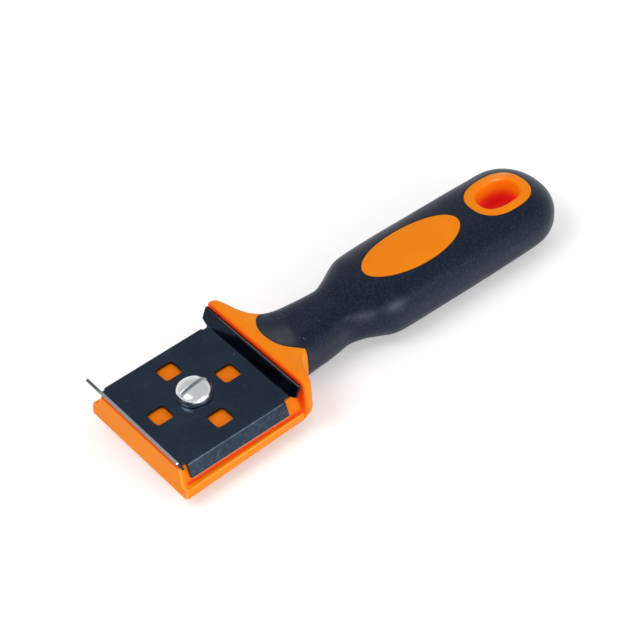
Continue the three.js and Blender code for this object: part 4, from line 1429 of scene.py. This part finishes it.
def black_rubber(tree, shader, scene):
    """Soft matt rubber: fine stipple, slow mottle, a little pale dust, and shoulders polished by use."""
    finishes = scene.scraper_finishes
    grain = place_group(tree, "Moulded Grain", Grain_Scale=2600.0, Mottle_Scale=45.0)
    mottle = ramp(tree, grain["Mottle"], *NOISE_RANGE)
    stipple = ramp(tree, grain["Height"], *FINE_RANGE)
    light = mix_colour(tree, mottle, shade(finishes.rubber, 1.3), shade(finishes.rubber, 1.9))
    tint = mix_colour(tree, stipple, shade(finishes.rubber, 0.5), light)
    patch = times(tree, noise_mask(tree, *DUST_SPREAD), SPREAD_SHARE)
    for place, halves in DUST_PATCHES:
        patch = larger(tree, patch, spot_mask(tree, place, halves))
    dust = times(tree, times(tree, noise_mask(tree, *DUST_SPECKS), patch), SPECK_SHARE)
    haze = times(tree, spot_mask(tree, *DUST_HAZE), times(tree, mottle, HAZE_SHARE))
    film = times(tree, noise_mask(tree, *DUST_FILM), FILM_SHARE)
    dust = larger(tree, larger(tree, dust, haze), film)
    polish = 0.0
    for (x, y, z), halves in POLISH:
        for side in (1, -1):
            polish = larger(tree, polish, spot_mask(tree, (x, side * y, z), halves, core=0.0))
    fill(
        tree, shader,
        Base_Color=mix_colour(tree, dust, tint, shade(finishes.dust)),
        Roughness=spread(tree, grain["Mottle"], 0.35, 0.43, *NOISE_RANGE),
        Specular_IOR_Level=0.34,
        Specular_Tint=(0.55, 0.62, 1.0, 1.0),
        Coat_Weight=times(tree, polish, POLISH_WEIGHT),
        Coat_Roughness=0.38,
        Sheen_Weight=0.03,
        Sheen_Roughness=0.35,
        Sheen_Tint=(0.75, 0.80, 1.0, 1.0),
    )
    bump(tree, shader, grain["Height"], strength=0.3, distance_mm=0.06)


def blade_masks(tree, blade):
    """Shares over the blade: the bare ends of its lips, its side lips, and the face of its rear lip.

    A place on a lip is measured in the lip's own direction from the screw's axis. The front lip is bare
    all along its tip, the rear lip less, and both less at their far ends.
    """
    screw_x, screw_y, level = frame_origin().tolist()
    where = node(tree, "ShaderNodeSeparateXYZ", Vector=object_place(tree)).outputs
    along = value_math(tree, "SUBTRACT", where["X"], screw_x)
    across = value_math(tree, "SUBTRACT", where["Y"], screw_y)
    rise = value_math(tree, "SUBTRACT", where["Z"], level)

    def lip_end(outward, bend, up, tip, band):
        out_part = times(tree, value_math(tree, "ABSOLUTE", outward), math.cos(bend))
        reach = value_math(tree, "ADD", out_part, times(tree, rise, up * math.sin(bend)))
        return ramp(tree, reach, tip - band[0], tip - band[1])

    edge_tip = lip_reach(blade.edge_start, blade.edge_angle, blade.bend_radius, blade.edge_height)
    outer_radius = blade.bend_radius + blade.thickness
    side_tip = lip_reach(blade.side_start, blade.side_angle, outer_radius, blade.side_drop)
    ground = lip_end(along, blade.edge_angle, 1, edge_tip, GROUND_BAND)
    worn = spread(tree, ramp(tree, along, *WORN_RANGE), LEAST_WORN, 1.0)
    kept = spread(tree, ramp(tree, across, *KEPT_RANGE), LEAST_KEPT, 1.0)
    ground = times(tree, times(tree, ground, worn), kept)
    sheared = times(tree, lip_end(across, blade.side_angle, -1, side_tip, SHEARED_BAND), SHEARED_SHARE)
    side = ramp(tree, rise, *SIDE_RANGE)
    # Painted shade: the face of the rear lip above its bend
    rear = times(tree, ramp(tree, along, *REAR_SHADE_RANGE), ramp(tree, rise, *REAR_SHADE_FOOT_RANGE))
    return larger(tree, ground, sheared), side, rear


def blued_steel(tree, shader, scene):
    """Dark blued sheet with bare ends on its lips, rolling lines, scratches and rubbed side lips."""
    finishes = scene.scraper_finishes
    marks = place_group(tree, "Handling Marks", Line_Scale=1100.0, Blotch_Scale=80.0)
    bare, side, rear = blade_masks(tree, scene.scraper_blade)
    blotch = ramp(tree, marks["Blotches"], *NOISE_RANGE)
    tint = mix_colour(tree, blotch, shade(finishes.blued, 0.88), shade(finishes.blued, 1.14))
    rubbed = times(tree, side, noise_mask(tree, *RUBBED_SPOTS))
    grind = mix_colour(tree, marks["Lines"], shade(finishes.bare, 0.75), shade(finishes.bare, 1.15))
    tint = laid_over(tree, tint, (
        (noise_mask(tree, *BLUED_FLECKS), 0.2, shade(finishes.blued, 0.4)),
        (marks["Scratches"], 0.12, shade(finishes.bare, 0.4)),
        *[(spot_mask(tree, *scratch), 0.5, shade(finishes.bare, 0.5)) for scratch in SCRATCHES],
        (spot_mask(tree, *RUST_SPOT), 1.0, shade(finishes.rust)),
        # Painted shade: the face of the rear lip darkened towards black
        (rear, 0.6, BLACK),
        (rubbed, 0.3, shade(finishes.bare, 0.28)),
        (bare, 1.0, grind),
    ))
    rough = spread(tree, marks["Blotches"], 0.11, 0.17, *NOISE_RANGE)
    fill(
        tree, shader,
        Base_Color=tint,
        Roughness=larger(tree, rough, times(tree, side, 0.30)),
        Metallic=1.0,
        Specular_Tint=(0.50, 0.50, 0.52, 1.0),
    )
    bump(tree, shader, marks["Lines"], strength=0.05, distance_mm=0.01)


def zinc_plate(tree, shader, scene):
    """Bright zinc plating, rougher in the slot and darker there as painted shade, with faint turning
    rings on the head.
    """
    finishes = scene.scraper_finishes
    marks = place_group(tree, "Handling Marks", Line_Scale=700.0, Blotch_Scale=260.0)
    hollow = attribute(tree, "cavity")
    tint = mix_colour(tree, marks["Blotches"], shade(finishes.zinc, 0.9), shade(finishes.zinc, 1.08))
    rough = spread(tree, marks["Blotches"], 0.18, 0.26, *NOISE_RANGE)
    fill(
        tree, shader,
        # Painted shade: the slot's metal is darker, and also rougher
        Base_Color=mix_colour(tree, hollow, tint, shade(finishes.slot)),
        Roughness=larger(tree, rough, times(tree, hollow, 0.5)),
        Metallic=1.0,
    )
    screw_x, screw_y = frame_origin().tolist()[:2]
    about_screw = node(
        tree, "ShaderNodeMapping", Vector=object_place(tree), Location=(-screw_x, -screw_y, 0.0))
    rings = node(tree, "ShaderNodeTexWave", Vector=about_screw.outputs[0], Scale=900.0, Distortion=0.6)
    rings.wave_type = "RINGS"
    rings.rings_direction = "Z"
    bump(tree, shader, rings.outputs["Fac"], strength=0.06, distance_mm=0.02)


def turned_brass(tree, shader, scene):
    """Turned brass with blotches and faint lines."""
    finishes = scene.scraper_finishes
    marks = place_group(tree, "Handling Marks", Line_Scale=900.0, Blotch_Scale=200.0)
    tint = mix_colour(tree, marks["Blotches"], shade(finishes.brass, 0.85), shade(finishes.brass, 1.1))
    fill(tree, shader, Base_Color=tint, Roughness=0.3, Metallic=1.0)
    bump(tree, shader, marks["Lines"], strength=0.1, distance_mm=0.02)


MATERIALS = {
    "orange_plastic": ("Orange Plastic", orange_plastic),
    "black_rubber": ("Black Rubber", black_rubber),
    "blued_steel": ("Blued Steel", blued_steel),
    "zinc_steel": ("Zinc Plate", zinc_plate),
    "brass": ("Turned Brass", turned_brass),
}


def finish(slot):
    """The material of a record slot; the first piece to ask for it builds it."""
    name, build = MATERIALS[slot]
    material = bpy.data.materials.get(name)
    if material is None:
        material, tree, shader = new_material(name)
        build(tree, shader, bpy.context.scene)
    return material


def dress(thing, body, node, slot):
    """Gives a piece the material of its record slot, puts it on its body and hides its CAD node."""
    thing.data.materials.clear()
    thing.data.materials.append(finish(slot))
    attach(thing, body)
    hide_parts(node)


class SCRAPER_OT_head(Operator):
    """Make the orange head of the handle with its collar and spine"""

    bl_idname = "scraper.make_head"
    bl_label = "Make Head"

    def execute(self, context):
        scene = context.scene
        thing = head_moulding(in_mm(scene.scraper_head), in_mm(scene.scraper_grip))
        dress(thing, "handle", "handle_core", "orange_plastic")
        return {"FINISHED"}


class SCRAPER_OT_inserts(Operator):
    """Make the oval pad and the lining of the hang hole"""

    bl_idname = "scraper.make_inserts"
    bl_label = "Make Pad and Lining"

    def execute(self, context):
        grip = in_mm(context.scene.scraper_grip)
        for thing in (grip_pad(grip), hole_lining(grip)):
            dress(thing, "handle", "handle_core", "orange_plastic")
        return {"FINISHED"}


class SCRAPER_OT_sleeve(Operator):
    """Make the soft black sleeve"""

    bl_idname = "scraper.make_sleeve"
    bl_label = "Make Sleeve"

    def execute(self, context):
        thing = rubber_sleeve(in_mm(context.scene.scraper_grip))
        dress(thing, "handle", "grip_sleeve", "black_rubber")
        return {"FINISHED"}


class SCRAPER_OT_blade(Operator):
    """Make the bent blade"""

    bl_idname = "scraper.make_blade"
    bl_label = "Make Blade"

    def execute(self, context):
        thing = blade_sheet(in_mm(context.scene.scraper_blade))
        dress(thing, "blade", "scraper_blade", "blued_steel")
        return {"FINISHED"}


class SCRAPER_OT_screw(Operator):
    """Make the clamp screw and the bush that it turns in"""

    bl_idname = "scraper.make_screw"
    bl_label = "Make Screw and Bush"

    def execute(self, context):
        screw = in_mm(context.scene.scraper_screw)
        dress(slotted_screw(screw), "screw", "clamp_screw", "zinc_steel")
        dress(brass_bush(screw), "handle", "threaded_insert", "brass")
        return {"FINISHED"}


class SCRAPER_OT_stage(Operator):
    """Make the floor, the soft light and the camera"""

    bl_idname = "scraper.make_stage"
    bl_label = "Make Stage"

    def execute(self, context):
        scene = context.scene
        stage = scene.scraper_stage
        make_camera(scene, stage)
        make_floor(scene, scene.scraper_finishes)
        make_light(scene, stage)
        scene.view_settings.view_transform = "Standard"
        return {"FINISHED"}


def make_camera(scene, stage):
    """Camera whose axes come from azimuth, elevation and roll, set back along its own axis."""
    a, e, r = stage.azimuth, stage.elevation, stage.roll
    right = np.array([math.cos(a), math.sin(a), 0.0])
    back = np.array([math.sin(a) * math.cos(e), -math.cos(a) * math.cos(e), math.sin(e)])
    up = np.cross(back, right)
    right, up = math.cos(r) * right + math.sin(r) * up, math.cos(r) * up - math.sin(r) * right
    eye = frame_origin() - stage.offset_x * right - stage.offset_y * up + stage.distance * back
    data = bpy.data.cameras.new("Photo Camera")
    data.sensor_fit = "HORIZONTAL"
    data.sensor_width = SENSOR_WIDTH
    data.lens = stage.focal_pixels / PHOTO_PIXELS * data.sensor_width
    camera = bpy.data.objects.new("Photo Camera", data)
    matrix = np.eye(4)
    matrix[:3, :4] = np.stack([right, up, back, eye], axis=1)
    camera.matrix_world = Matrix(matrix.tolist())
    scene.collection.objects.link(camera)
    scene.camera = camera


def make_floor(scene, finishes):
    """Large pale floor at the tool's lowest point; the camera also sees a little added white on it."""
    low, far = CAD_BOX[0][2] - FLOOR_GAP, FLOOR_HALF
    mesh = bpy.data.meshes.new("studio_floor")
    corners = [[-far, -far, low], [far, -far, low], [far, far, low], [-far, far, low]]
    mesh.from_pydata(corners, [], [[0, 1, 2, 3]])
    floor = bpy.data.objects.new("studio_floor", mesh)
    scene.collection.objects.link(floor)
    material, tree, shader = new_material("Studio Floor")
    ray = tree.nodes.new("ShaderNodeLightPath").outputs
    seen = larger(tree, ray["Is Camera Ray"], ray["Is Glossy Ray"])
    seen = larger(tree, seen, ray["Is Transmission Ray"])
    fill(
        tree, shader,
        Base_Color=shade(finishes.floor),
        Roughness=0.9,
        Specular_IOR_Level=0.0,
        Emission_Color=mix_colour(tree, seen, BLACK, WHITE),
        Emission_Strength=FLOOR_GLOW,
    )
    mesh.materials.append(material)


def make_light(scene, stage):
    """Pale surroundings that fall off overhead, and three soft lights: high left, right and low front."""
    world = bpy.data.worlds.new("Studio")
    world.use_nodes = True
    tree = world.node_tree
    tree.nodes.clear()
    direction = tree.nodes.new("ShaderNodeTexCoord").outputs["Generated"]
    height = node(tree, "ShaderNodeSeparateXYZ", Vector=direction).outputs["Z"]
    overhead = ramp(tree, height, *SKY_RANGE)
    level = mix_colour(tree, overhead, shade((stage.horizon,) * 3), shade((stage.zenith,) * 3))
    background = node(tree, "ShaderNodeBackground", Color=level, Strength=1.0)
    output = tree.nodes.new("ShaderNodeOutputWorld")
    tree.links.new(background.outputs[0], output.inputs["Surface"])
    scene.world = world
    for name, setting, towards, size in LAMPS:
        data = bpy.data.lights.new(name, "AREA")
        data.size = size
        data.energy = getattr(stage, setting)
        lamp = bpy.data.objects.new(name, data)
        place = Vector(towards).normalized()
        lamp.rotation_mode = "QUATERNION"
        lamp.rotation_quaternion = place.to_track_quat("Z", "Y")
        lamp.location = place * LAMP_DISTANCE
        scene.collection.objects.link(lamp)


class SCRAPER_PT_panel(Panel):
    """Sizes, finishes and the operators that make the tool."""

    bl_idname = "SCRAPER_PT_panel"
    bl_label = "Pipe Scraper"
    bl_space_type = "VIEW_3D"
    bl_region_type = "UI"
    bl_category = "Scraper"

    def draw(self, context):
        layout = self.layout
        for operator in OPERATORS:
            layout.operator(operator.bl_idname)
        for name in SETTINGS:
            group = getattr(context.scene, name)
            column = layout.column(align=True)
            for prop in group.bl_rna.properties:
                if prop.identifier not in {"rna_type", "name"}:
                    column.prop(group, prop.identifier)


OPERATORS = (
    SCRAPER_OT_stage,
    SCRAPER_OT_head,
    SCRAPER_OT_inserts,
    SCRAPER_OT_sleeve,
    SCRAPER_OT_blade,
    SCRAPER_OT_screw,
)
CLASSES = (*SETTINGS.values(), *OPERATORS, SCRAPER_PT_panel)


def register():
    """Registers the classes and puts the settings on the scene."""
    for cls in CLASSES:
        bpy.utils.register_class(cls)
    for name, cls in SETTINGS.items():
        setattr(bpy.types.Scene, name, PointerProperty(type=cls))


def unregister():
    """Takes the settings off the scene and removes the classes."""
    for name in SETTINGS:
        delattr(bpy.types.Scene, name)
    for cls in reversed(CLASSES):
        bpy.utils.unregister_class(cls)


def main():
    """Makes the stage and every piece."""
    register()
    bpy.ops.scraper.make_stage()
    bpy.ops.scraper.make_head()
    bpy.ops.scraper.make_inserts()
    bpy.ops.scraper.make_sleeve()
    bpy.ops.scraper.make_blade()
    bpy.ops.scraper.make_screw()
    bpy.context.view_layer.update()


if __name__ == "__main__":
    main()
